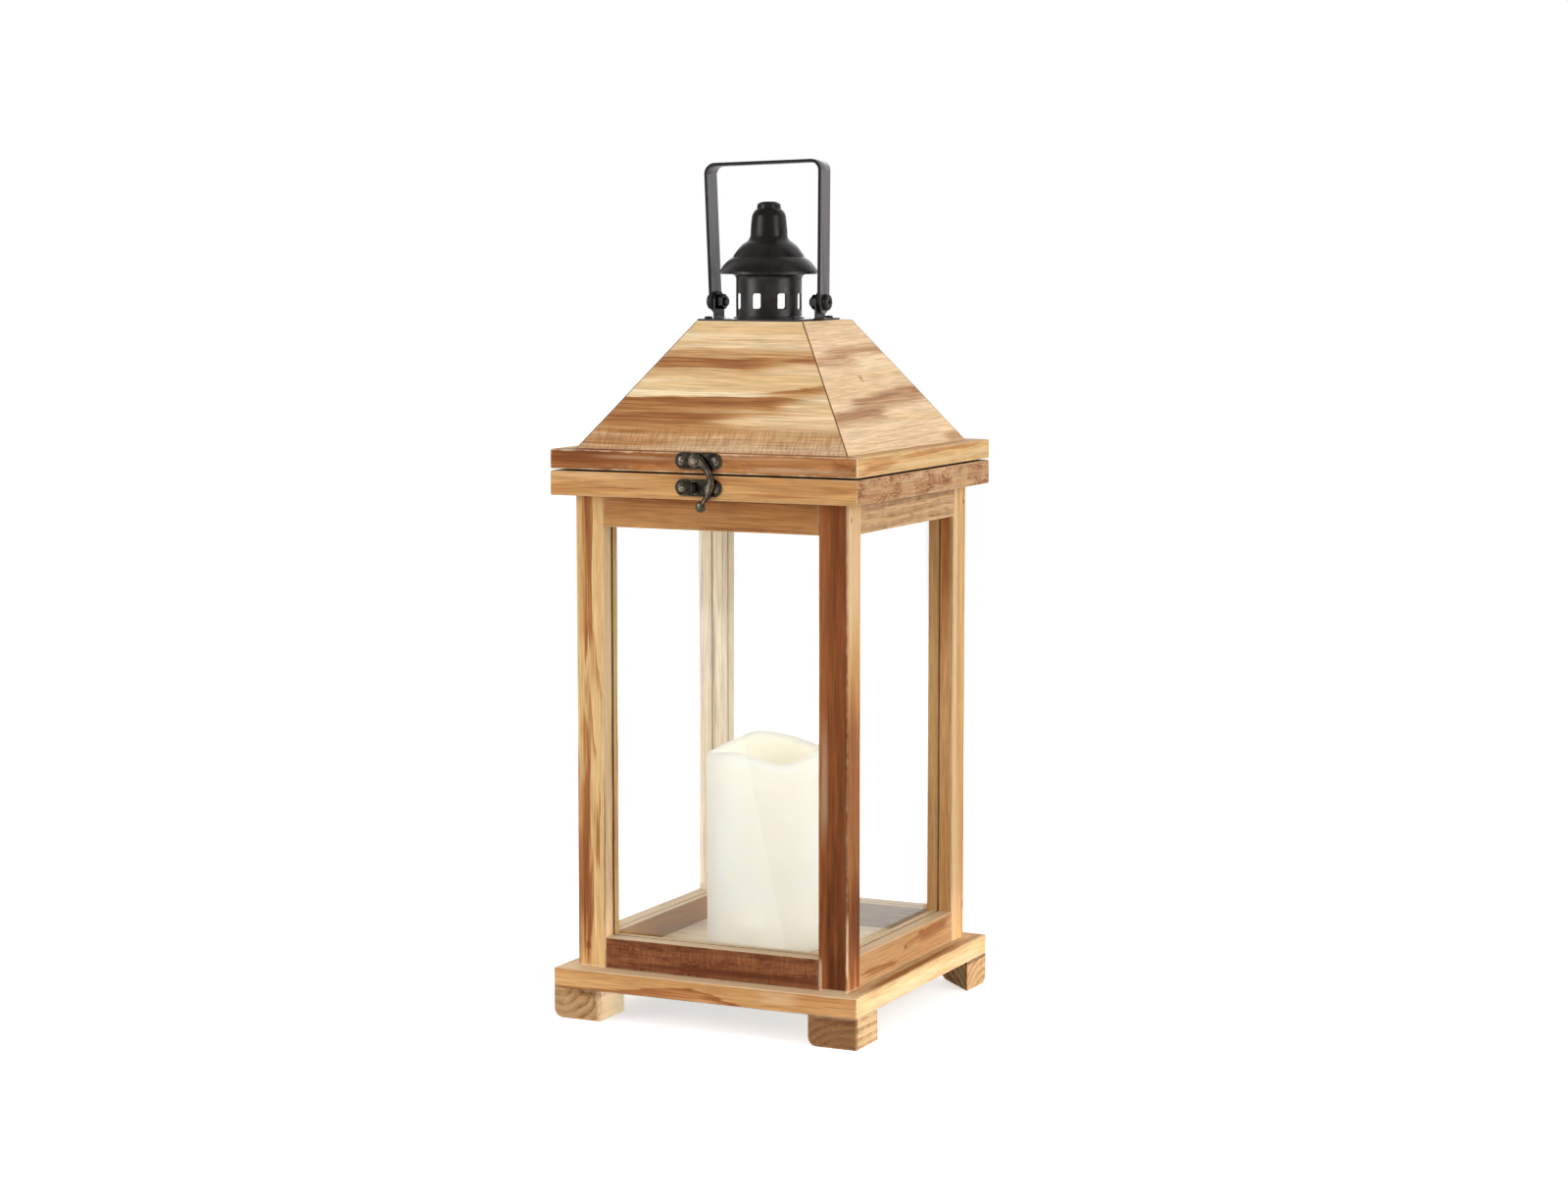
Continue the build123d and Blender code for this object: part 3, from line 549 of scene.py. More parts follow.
@dataclass(frozen=True)
class Mark:
    """A stain on a board, or a place of painted light or painted shade.

    Attributes:
        at: Its middle.
        reach: How far it goes each way.
        depth: How strong it is.
        soft: How soft its rim is.
        fray: How much its rim wanders with the grain.
    """

    at: Point
    reach: Point
    depth: float
    soft: float = 0.6
    fray: float = 1.0


@dataclass(frozen=True)
class Band:
    """A scorched streak along a board's grain.

    Attributes:
        edge: Where its crisp edge lies across the grain.
        fade: How far it spreads from there until it is gone, below 0 downwards or to the left.
        start: Where it starts along the grain.
        end: Where it ends.
        depth: How dark it is.
        ends: How far its ends take to fade.
        crisp: How far its crisp edge takes.
        slant: How much it climbs along the grain.
    """

    edge: float
    fade: float
    start: float
    end: float
    depth: float
    ends: float = 15.0
    crisp: float = 0.9
    slant: float = 0.0


@dataclass(frozen=True)
class WoodFinish:
    """The looks of one board.

    Attributes:
        palette: Its colours.
        grain: The direction of its grain.
        seed: Which part of the tree it came from.
        ring: The spacing of its rings in millimetres.
        pith: How far the tree's middle lies from the board, across and through.
        late: How dark the ring lines are.
        pores: How much the pores show.
        bands: Its scorched streaks.
        scorches: Its dark stains.
        rubs_and_light: Its rubbed, pale places, and paler places of painted light, such as lit faces and edge
            highlights.
        gap_shades: Painted shade along the joints where it meets the glass or the lid.
        worn: How much its edges are rubbed pale.
        sawn: How much saw marks show.
        sawn_top: The height up to which they show.
        blotch: How strong its rough, stained patches are.
        shape: How its edges are found.
    """

    palette: Palette
    grain: Grain
    seed: int
    ring: float = 5.5
    pith: tuple[float, float] = (38.0, 26.0)
    late: float = 0.4
    pores: float = 0.12
    bands: tuple[Band, ...] = ()
    scorches: tuple[Mark, ...] = ()
    rubs_and_light: tuple[Mark, ...] = ()
    gap_shades: tuple[Mark, ...] = ()
    worn: float = 0.3
    sawn: float = 0.0
    sawn_top: float = ANY
    blotch: float = 0.0
    shape: Shape = Shape.SQUARED

    def _marks(self, made: Surface, streak: Socket, marks: Sequence[Mark], before: object = 0.0) -> object:
        """Lays marks over each other: stains, rubbed places, painted light and painted shade.

        Args:
            made: The material in the making.
            streak: Noise that frays the stains along the grain.
            marks: The stains, rubbed places, painted light and painted shade.
            before: The output that they are laid over.

        Returns:
            The output of the last mark, or what was there before.
        """
        for mark in marks:
            before = made.effect(
                scorch_mark(), Vector=made.place, Centre=Vector(mark.at) * MM, Reach=Vector(mark.reach) * MM,
                Depth=mark.depth, Soft=mark.soft, Fray=mark.fray, Streak=streak,
                Before=before).outputs["Burn"]
        return before

    def _bands(self, made: Surface, figure: Mapping[str, Socket]) -> object:
        """Lays the scorched streaks over each other.

        Args:
            made: The material in the making.
            figure: The outputs of the grain's figure.

        Returns:
            The output of the last streak, or 0 where there is none.
        """
        parts = made.split(made.place)
        along, across = (parts[axis] for axis in self.grain.axes)
        burn: object = 0.0
        for band in self.bands:
            burn = made.effect(
                scorch_band(), Along=along, Across=across, Start=band.start * MM, End=band.end * MM,
                Ends=band.ends * MM, Edge=band.edge * MM, Fade=band.fade * MM, Crisp=band.crisp * MM,
                Slant=band.slant, Depth=band.depth, Streak=figure["Streak"], Thread=figure["Thread"],
                Before=burn).outputs["Burn"]
        return burn

    def _edges(self, made: Surface, low: Vector, high: Vector) -> tuple[Socket, object]:
        """Finds the board's rubbed edges and its dark mitre seams.

        Args:
            made: The material in the making.
            low: The board's lowest corner.
            high: Its highest corner.

        Returns:
            The rubbed share and the seam's share.
        """
        if self.shape is Shape.ROOF:
            found = made.effect(hip_edges(), Vector=made.place, Low=low.z, High=high.z, Width=HIP_RUB * MM)
            return found.outputs["Edge"], found.outputs["Hip"]
        found = made.effect(board_edges(), Vector=made.place, Centre=(low + high) / 2, Half=(high - low) / 2,
                            Width=BOARD_RUB * MM)
        return found.outputs["Edge"], 0.0

    def _burn(self, made: Surface, figure: Mapping[str, Socket]) -> object:
        """Gathers all that darkens the board.

        Args:
            made: The material in the making.
            figure: The outputs of the grain's figure.

        Returns:
            The output of the whole scorching.
        """
        burn = self._bands(made, figure)
        burn = self._marks(made, figure["Streak"], self.scorches, burn)
        if self.blotch:
            stretch = [1.0, 1.0, 1.0]
            stretch[self.grain.axes[0]] = PATCH_STRETCH
            patches = made.mottle(PATCH, PATCH_TOOTH, stretch)
            patch = made.math("MULTIPLY", patches["Blotches"],
                              made.ease(patches["Teeth"], 0.34, 0.6, 0.35, 1.0))
            burn = made.math("MAXIMUM", burn, made.math("MULTIPLY", patch, self.blotch))
        return burn

    def _colour(self, made: Surface, figure: Mapping[str, Socket], lines: Socket, burn: object) -> Socket:
        """Mixes the wood's own colours with its scorched ones.

        Args:
            made: The material in the making.
            figure: The outputs of the grain's figure.
            lines: The share of the ring lines.
            burn: The share of the scorching.

        Returns:
            The colour's output.
        """
        colour = made.mix(figure["Cloud"], self.palette.pale, self.palette.honey)
        colour = made.mix(lines, colour, self.palette.late)
        browned = made.mix(lines, self.palette.tan, [part * LINE_IN_TAN for part in self.palette.tan])
        colour = made.mix(made.ease(burn, 0.0, 0.7), colour, browned)
        charred = made.mix(lines, self.palette.burn, [part * LINE_IN_CHAR for part in self.palette.burn])
        colour = made.mix(made.ease(burn, 0.45, 1.05), colour, charred)
        shade = made.ease(figure["Fibre"], 0.28, 0.72, DARK_FIBRE, PALE_FIBRE)
        tint = made.node("ShaderNodeCombineColor")
        for socket in tint.inputs:
            made.feed(socket, shade)
        return made.mix(FIBRE_TINT, colour, tint.outputs[0], "MULTIPLY")

    def material(self, name: str, low: Vector, high: Vector) -> Material:
        """Builds the board's material.

        Args:
            name: The board's name.
            low: The board's lowest corner.
            high: Its highest corner.

        Returns:
            The material.
        """
        made = Surface(f"{name}_pine")
        dice = random.Random(self.seed)
        shift = Vector([dice.uniform(-1.0, 1.0) for _ in range(3)])
        turned = made.fill(made.node("ShaderNodeMapping"), Vector=made.place, Rotation=self.grain.value,
                           Location=shift)
        along = turned.outputs["Vector"]
        tilt = Matrix.Rotation(self.grain.value[1], 3, "Y") @ Matrix.Rotation(self.grain.value[2], 3, "Z")
        middle = tilt @ ((low + high) / 2) + shift
        pith = middle + Vector((0.0, self.pith[0], self.pith[1])) * MM
        figure = made.effect(grain_figure(), Vector=along, Ring_Spacing=self.ring * MM, Pith=pith).outputs
        rub_and_light = self._marks(made, figure["Streak"], self.rubs_and_light)
        gap_shade = self._marks(made, figure["Streak"], self.gap_shades)
        rubbed, seam = self._edges(made, low, high)
        zone = made.ease(made.split(made.place)[2], (self.sawn_top + SAWN_FADE) * MM,
                         (self.sawn_top - SAWN_FADE) * MM)
        stroke = made.math("MULTIPLY", made.effect(saw_marks(), Vector=along).outputs["Stroke"], zone)
        stroke = made.math("MULTIPLY", stroke, self.sawn)
        lines = made.math("MULTIPLY", figure["Late"], self.late)
        colour = self._colour(made, figure, lines, self._burn(made, figure))
        for share, strength, tone in (
                (figure["Pore"], self.pores, PORE), (stroke, STROKE_TONE, self.palette.burn),
                (rub_and_light, RUB_AND_LIGHT_TONE, BARE_AND_LIT), (rubbed, self.worn, BARE_AND_LIT), (seam, 1.0, SEAM), (gap_shade, 1.0, GAP_SHADE)):
            colour = made.mix(made.math("MULTIPLY", share, strength), colour, tone)
        made.shade(Base_Color=colour, Specular_IOR_Level=WOOD_SHINE,
                   Roughness=made.ease(figure["Fibre"], 0.2, 0.8, 0.5, 0.7))
        relief = made.math("SUBTRACT", figure["Fibre"], made.math("MULTIPLY", figure["Pore"], 0.6))
        relief = made.math("SUBTRACT", relief, made.math("MULTIPLY", stroke, 1.2))
        made.bump(made.math("SUBTRACT", relief, lines), WOOD_RELIEF)
        return made.material


class Finish:
    """A finish with blotches, a tooth and, on metal, rubbed edges, whose widths each kind sets."""

    BLOTCH, TOOTH = 6.0, 0.7

    def material(self, name: str) -> Material:
        """Builds the finish's material.

        Args:
            name: The material's name.

        Returns:
            The material.
        """
        made = Surface(name)
        self.paint(made, made.mottle(self.BLOTCH, self.TOOTH))
        return made.material

    def paint(self, made: Surface, mottle: Mapping[str, Socket]) -> None:
        """Feeds the shader of a material in the making.

        Args:
            made: The material.
            mottle: Its blotches and its tooth.
        """
        raise NotImplementedError


@dataclass(frozen=True)
class PaintedSheet(Finish):
    """Satin paint over sheet metal, with faint blotches and rubbed edges.

    Attributes:
        deep: The paint where it is thick.
        thin: The paint where it is thin.
        rubbed: The colour of its rubbed edges.
        rough: How dull it is.
        shine: How much it mirrors.
        wear: How much its edges are rubbed.
        coat: How strong its clear coat is.
        rim: The darker colour of a strap's narrow front and rear sides, painted shade chosen by the way they
            face; those sides also have no clear coat.
    """

    BLOTCH, TOOTH, EDGE = 9.0, 0.9, 0.9

    deep: Colour
    thin: Colour
    rubbed: Colour
    rough: float
    shine: float
    wear: float = 0.25
    coat: float = 0.0
    rim: Colour | None = None

    def paint(self, made: Surface, mottle: Mapping[str, Socket]) -> None:
        """Feeds the shader of the paint.

        Args:
            made: The material in the making.
            mottle: Its blotches and its tooth.
        """
        edges = made.rubbed(self.EDGE)
        colour = made.mix(mottle["Blotches"], self.deep, self.thin)
        colour = made.mix(made.math("MULTIPLY", edges, self.wear), colour, self.rubbed)
        coat: object = self.coat
        # painted shade: faces that look along Y get the darker rim colour
        if self.rim is not None:
            normal = made.node("ShaderNodeTexCoord").outputs["Normal"]
            facing = made.math("ABSOLUTE", made.split(normal)[1])
            colour = made.mix(made.ease(facing, 0.5, 0.8), colour, self.rim)
            coat = made.ease(facing, 0.5, 0.8, self.coat, 0.0)
        made.shade(Base_Color=colour, Specular_IOR_Level=self.shine, Coat_Weight=coat,
                   Coat_Roughness=self.rough,
                   Roughness=made.ease(mottle["Blotches"], 0.0, 1.0, self.rough - 0.06, self.rough + 0.06))
        made.bump(mottle["Teeth"], 0.05, 0.35)


@dataclass(frozen=True)
class AgedBrass(Finish):
    """Brass with a dark antique plating that is rubbed through on its edges.

    Attributes:
        dark: The plating where it is thick.
        brown: The plating where it is thin.
        bright: The brass under it.
        rough: How dull it is.
        rub: How much its edges are rubbed.
    """

    BLOTCH, TOOTH, EDGE = 3.2, 0.5, 0.7

    dark: Colour
    brown: Colour
    bright: Colour
    rough: float
    rub: float = 0.9

    def paint(self, made: Surface, mottle: Mapping[str, Socket]) -> None:
        """Feeds the shader of the plating.

        Args:
            made: The material in the making.
            mottle: Its blotches and its tooth.
        """
        edges = made.rubbed(self.EDGE)
        colour = made.mix(mottle["Blotches"], self.dark, self.brown)
        made.shade(Metallic=1.0,
                   Base_Color=made.mix(made.math("MULTIPLY", edges, self.rub), colour, self.bright),
                   Roughness=made.ease(mottle["Blotches"], 0.0, 1.0, self.rough + 0.1, self.rough - 0.05))
        made.bump(mottle["Teeth"], 0.08, 0.5)


@dataclass(frozen=True)
class PaneGlass(Finish):
    """Thin clear float glass that lets lamp light through to the candle.

    Attributes:
        tint: Its colour.
        haze: How dull its haziest spots are.
        bend: Its index of refraction.
    """

    BLOTCH, TOOTH = 60.0, 14.0

    tint: Colour
    haze: float = 0.02
    bend: float = 1.47

    def paint(self, made: Surface, mottle: Mapping[str, Socket]) -> None:
        """Feeds the shader of the glass.

        Args:
            made: The material in the making.
            mottle: Its blotches and its tooth.
        """
        made.shade(Base_Color=(*self.tint, 1.0), Transmission_Weight=1.0, IOR=self.bend,
                   Roughness=made.ease(mottle["Blotches"], 0.4, 1.0, 0.0, self.haze))
        clear = made.fill(made.node("ShaderNodeBsdfTransparent"), Color=(*self.tint, 1.0))
        path = made.node("ShaderNodeLightPath").outputs
        through = made.node("ShaderNodeMixShader")
        either = made.math("MAXIMUM", path["Is Shadow Ray"], path["Is Diffuse Ray"])
        for socket, value in zip(through.inputs, (either, made.shader.outputs[0], clear.outputs[0])):
            made.feed(socket, value)
        made.fill(made.tree.nodes["Material Output"], Surface=through.outputs[0])


@dataclass(frozen=True)
class Wax(Finish):
    """Ivory wax that light sinks into, with a faint painted glow that stands in for its lamp's light.

    Attributes:
        ivory: Its colour.
        warm: Its warmer blotches.
        glow: How much it shines by itself, a painted glow.
        sink: How much light sinks into it.
        sink_depth: How deep the red light goes.
        sink_tint: How deep red, green and blue go, as shares of that.
        shine: How much it mirrors.
    """

    BLOTCH, TOOTH = 26.0, 2.4

    ivory: Colour
    warm: Colour
    glow: float = 0.06
    sink: float = 0.85
    sink_depth: float = 12.0
    sink_tint: Colour = (1.0, 0.86, 0.66)
    shine: float = 0.2

    def paint(self, made: Surface, mottle: Mapping[str, Socket]) -> None:
        """Feeds the shader of the wax.

        Args:
            made: The material in the making.
            mottle: Its blotches and its tooth.
        """
        # the emission is a painted glow of the wax
        made.shade(Base_Color=made.mix(mottle["Blotches"], self.ivory, self.warm),
                   Roughness=made.ease(mottle["Teeth"], 0.2, 0.8, 0.42, 0.58), Subsurface_Weight=self.sink,
                   Subsurface_Radius=self.sink_tint, Subsurface_Scale=self.sink_depth * MM,
                   Specular_IOR_Level=self.shine, Emission_Color=(*self.ivory, 1.0),
                   Emission_Strength=self.glow)
        made.bump(mottle["Teeth"], 0.12, 0.3)


@dataclass(frozen=True)
class Moulded(Finish):
    """Moulded plastic, a printed jacket, plated strip or a lit lens: one tone with a fine tooth.

    Attributes:
        tone: Its colour, and that of its light.
        shade: Its darker blotches.
        rough: How dull it is.
        metal: How much like bare metal it is.
        glow: How much it shines by itself.
    """

    tone: Colour
    shade: Colour
    rough: float
    metal: float = 0.0
    glow: float = 0.0

    def paint(self, made: Surface, mottle: Mapping[str, Socket]) -> None:
        """Feeds the shader of the surface.

        Args:
            made: The material in the making.
            mottle: Its blotches and its tooth.
        """
        made.shade(Base_Color=made.mix(mottle["Blotches"], self.tone, self.shade), Metallic=self.metal,
                   Roughness=made.ease(mottle["Teeth"], 0.2, 0.8, self.rough - 0.05, self.rough + 0.05),
                   Emission_Color=(*self.tone, 1.0), Emission_Strength=self.glow)
        made.bump(mottle["Teeth"], 0.04, 0.4)


def dress(material: Material, *nodes: str) -> None:
    """Gives nodes of the frame their material and reports them.

    Args:
        material: The finish.
        nodes: The nodes' names.
    """
    for node in nodes:
        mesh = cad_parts[node].data
        mesh.materials.clear()
        mesh.materials.append(material)
        LOG.info("%s: %s", node, material.name)


def soften(node: str, width: float) -> None:
    """Eases a node's sharp edges with a small bevel.

    Args:
        node: The node's name.
        width: The bevel's width in millimetres.
    """
    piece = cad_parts[node]
    weld = piece.modifiers.new("joined faces", "WELD")
    weld.merge_threshold = WELD_REACH * MM
    eased = piece.modifiers.new("eased edges", "BEVEL")
    eased.width = width * MM
    eased.segments = EASING_FACETS
    eased.limit_method = "ANGLE"
    eased.angle_limit = math.radians(EASING_ANGLE)
    eased.use_clamp_overlap = True
    eased.harden_normals = True


def new_piece(name: str, mesh: Mesh, body: str, material: Material) -> bpy.types.Object:
    """Turns a built mesh into a smooth piece that rides on a body.

    Args:
        name: The piece's name.
        mesh: Its mesh, in metres; it is used up.
        body: The body that it moves with.
        material: Its finish.

    Returns:
        The new object.
    """
    bmesh.ops.recalc_face_normals(mesh, faces=mesh.faces)
    data = bpy.data.meshes.new(name)
    mesh.to_mesh(data)
    mesh.free()
    for face in data.polygons:
        face.use_smooth = True
    data.materials.append(material)
    piece = bpy.data.objects.new(name, data)
    bpy.context.scene.collection.objects.link(piece)
    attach(piece, body)
    LOG.info("%s: new piece on %s", name, body)
    return piece


def skin(mesh: Mesh, rings: Sequence[Sequence[bmesh.types.BMVert]], closed: bool) -> None:
    """Joins rings of vertices with faces.

    Args:
        mesh: The mesh.
        rings: Rings of equally many vertices, each closed on itself.
        closed: Whether the last ring joins the first one.
    """
    pairs = list(zip(rings, rings[1:]))
    if closed:
        pairs.append((rings[-1], rings[0]))
    for first, second in pairs:
        count = len(first)
        for i in range(count):
            mesh.faces.new((first[i], first[(i + 1) % count], second[(i + 1) % count], second[i]))


def stray_bands(seed: int, low: Vector, high: Vector, grain: Grain, count: int) -> tuple[Band, ...]:
    """Scatters a few scorched streaks along a board that the photo doesn't show.

    Args:
        seed: The scatter's seed.
        low: The board's lowest corner.
        high: Its highest corner.
        grain: The direction of its grain.
        count: How many streaks.

    Returns:
        The streaks.
    """
    dice = random.Random(seed)
    along, across = grain.axes
    length, width = (high - low)[along] / MM, (high - low)[across] / MM
    bands = []
    for index in range(count):
        edge = low[across] / MM + width * (index + dice.uniform(0.3, 1.0)) / count
        start = low[along] / MM + length * dice.uniform(-0.1, 0.45)
        bands.append(Band(edge, -min(width * dice.uniform(0.12, 0.3), 9), start,
                          start + length * dice.uniform(0.4, 0.7), dice.uniform(0.4, 0.85), length * 0.15))
    return tuple(bands)


def front_mark(x: float, z: float, width: float, height: float, depth: float, soft: float = 0.6) -> Mark:
    """A stain on a front board, right through it; the lengths are half its width and height."""
    return Mark((x, 0, z), (width, ANY, height), depth, soft)


def right_mark(y: float, z: float, width: float, height: float, depth: float, soft: float = 0.6) -> Mark:
    """A stain on a right-hand board, right through it; the lengths are half its width and height."""
    return Mark((0, y, z), (ANY, width, height), depth, soft)


def top_light_and_rub(z: float, depth: float, height: float = 0.7) -> Mark:
    """A paler top face with its two upper edges: painted light from above, with rubbed edges."""
    return Mark((0, 0, z), (ANY, ANY, height), depth, 0.5, 0.25)


@dataclass
class Timberwork:
    """A sub-assembly of boards, each with its own finish.

    Attributes:
        easing: The width of the eased edges, 0 where the frame's boards are eased already.
    """

    easing: float = 0.5

    def looks(self) -> dict[str, WoodFinish]:
        """The finish of each board, by its node's name."""
        raise NotImplementedError

    def dress(self) -> None:
        """Gives every board its material and eased edges."""
        for node, look in self.looks().items():
            dress(look.material(node, *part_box(node)), node)
            if self.easing:
                soften(node, self.easing)

    def plain(self, node: str, palette: Palette, grain: Grain, seed: int,
              streaks: int = 3) -> dict[str, WoodFinish]:
        """A board that the photo hardly shows, with stray scorched streaks.

        Args:
            node: The board's name.
            palette: Its colours.
            grain: The direction of its grain.
            seed: The seed of its figure and streaks.
            streaks: How many streaks it has.

        Returns:
            The board's name with its finish.
        """
        shape = Shape.ROOF if node.startswith("roof") else Shape.SQUARED
        return {node: WoodFinish(palette, grain, seed, shape=shape,
                                 bands=stray_bands(seed, *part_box(node), grain, streaks))}


@dataclass
class BaseFrame(Timberwork):
    """The feet, the base frame and the floor.

    Attributes:
        foot_ring: The spacing of the rings on the feet's end grain.
        end_depth: How deep the end grain's darker tone goes.
    """

    easing: float = 0.6
    foot_ring: float = 5.2
    end_depth: float = 2.6

    def foot(self, corner: str, seed: int, tone: float, pith: tuple[float, float]) -> WoodFinish:
        """The finish of a foot, whose dark end grain faces the front or the side.

        Args:
            corner: The foot's corner.
            seed: The seed of its figure.
            tone: How dark its end grain is.
            pith: Where the tree's middle lay, across and above.

        Returns:
            The finish.
        """
        low, high = (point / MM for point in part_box(f"foot_{corner}"))
        middle = (low + high) / 2
        # top: a dark strip along the foot's top, under the base: a stain with painted shadow of the base
        if "front" in corner:
            grain, at, deep = Grain.DEEP, (middle.x, low.y, middle.z), (ANY, self.end_depth, ANY)
            top = Mark((high.x, low.y, high.z), (30, self.end_depth, 5), 0.75, 0.9)
        else:
            outer = high.x if "right" in corner else low.x
            grain, at, deep = Grain.SIDEWAYS, (outer, middle.y, middle.z), (self.end_depth, ANY, ANY)
            top = Mark((outer, middle.y, high.z), (self.end_depth, ANY, 2.4), 0.8, 0.7)
        palette, rubs_and_light = BLOCK, ()
        if corner == "front_right":
            palette = replace(BLOCK, pale=(0.610, 0.490, 0.300), honey=(0.530, 0.385, 0.205))
        elif corner == "front_left":
            # a paler inner side face: painted light where the foot's side lies in shade
            rubs_and_light = (Mark((high.x, high.y, middle.z), (3, 34, ANY), 0.85, 0.5),)
        return WoodFinish(palette, grain, seed, ring=self.foot_ring, pith=pith, late=0.9, pores=0.3,
                          worn=0.2, scorches=(Mark(at, deep, tone, 0.3), top), rubs_and_light=rubs_and_light)

    def looks(self) -> dict[str, WoodFinish]:
        """Finishes each board.

        Returns:
            The finishes, by the nodes' names.
        """
        piths = {"front_left": (11.0, 19.0), "front_right": (-16.0, -37.0), "rear_right": (12.0, -30.0),
                 "rear_left": (-14.0, 26.0)}
        tones = {"front_left": 0.5, "front_right": 0.78, "rear_right": 0.4, "rear_left": 0.4}
        looks = {f"foot_{corner}": self.foot(corner, 31 + index, tones[corner], piths[corner])
                 for index, corner in enumerate(CORNERS)}
        looks["base_rail_front"] = WoodFinish(
            replace(GOLD, pale=(0.640, 0.380, 0.158), honey=(0.520, 0.270, 0.100)),
            Grain.SIDEWAYS, 5, ring=7.0, pith=(30.0, 16.0), late=0.35,
            bands=(Band(20.4, -8, -125, -48, 0.8, 12, 0.7, 0.02),
                   Band(20.6, -12, -66, 2, 0.8, 12, 0.7, 0.11),
                   Band(27.6, -7, -12, 36, 0.95, 11, 0.7, -0.19),
                   Band(31.4, -40, 59.4, 140, 0.26, 0.8, 0.5),
                   Band(22.4, -1.3, 44, 108, 0.6, 12, 0.5, 0.05),
                   Band(28.2, -1, 74, 108, 0.55, 10, 0.5),
                   Band(19.4, -1.6, 4, 62, 0.5, 14, 0.6)),
            rubs_and_light=(front_mark(50, 26, 18, 6, 0.35, 1), top_light_and_rub(31.2, 0.8)))
        looks["base_rail_right"] = WoodFinish(
            replace(HONEY, pale=(0.730, 0.510, 0.270), honey=(0.640, 0.400, 0.185)),
            Grain.DEEP, 6, ring=7.0, pith=(30.0, 16.0), late=0.25,
            bands=(Band(30.4, -1, -104, 100, 0.5, 14, 0.4),
                   Band(23, -2, -96, -40, 0.3, 20),
                   Band(20.5, -1.4, -20, 70, 0.25, 24)),
            # a dark line along its top face: painted shadow of the joint under the bottom rail
            scorches=(Mark((97, 0, 31), (3.4, 82, 0.7), 0.75, 0.8),),
            rubs_and_light=(right_mark(-40, 22, 66, 6, 0.4, 0.9),
                    right_mark(74, 23, 30, 5, 0.3, 0.9)))
        looks |= self.plain("base_rail_rear", HONEY, Grain.SIDEWAYS, 7)
        looks["base_rail_left"] = WoodFinish(HONEY, Grain.DEEP, 8, rubs_and_light=(top_light_and_rub(31.2, 0.7, 1.4),),
                                             bands=stray_bands(8, *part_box("base_rail_left"), Grain.DEEP, 3))
        looks["floor_panel"] = WoodFinish(CREAM, Grain.SIDEWAYS, 9, late=0.2, pores=0.05, worn=0.0)
        return looks


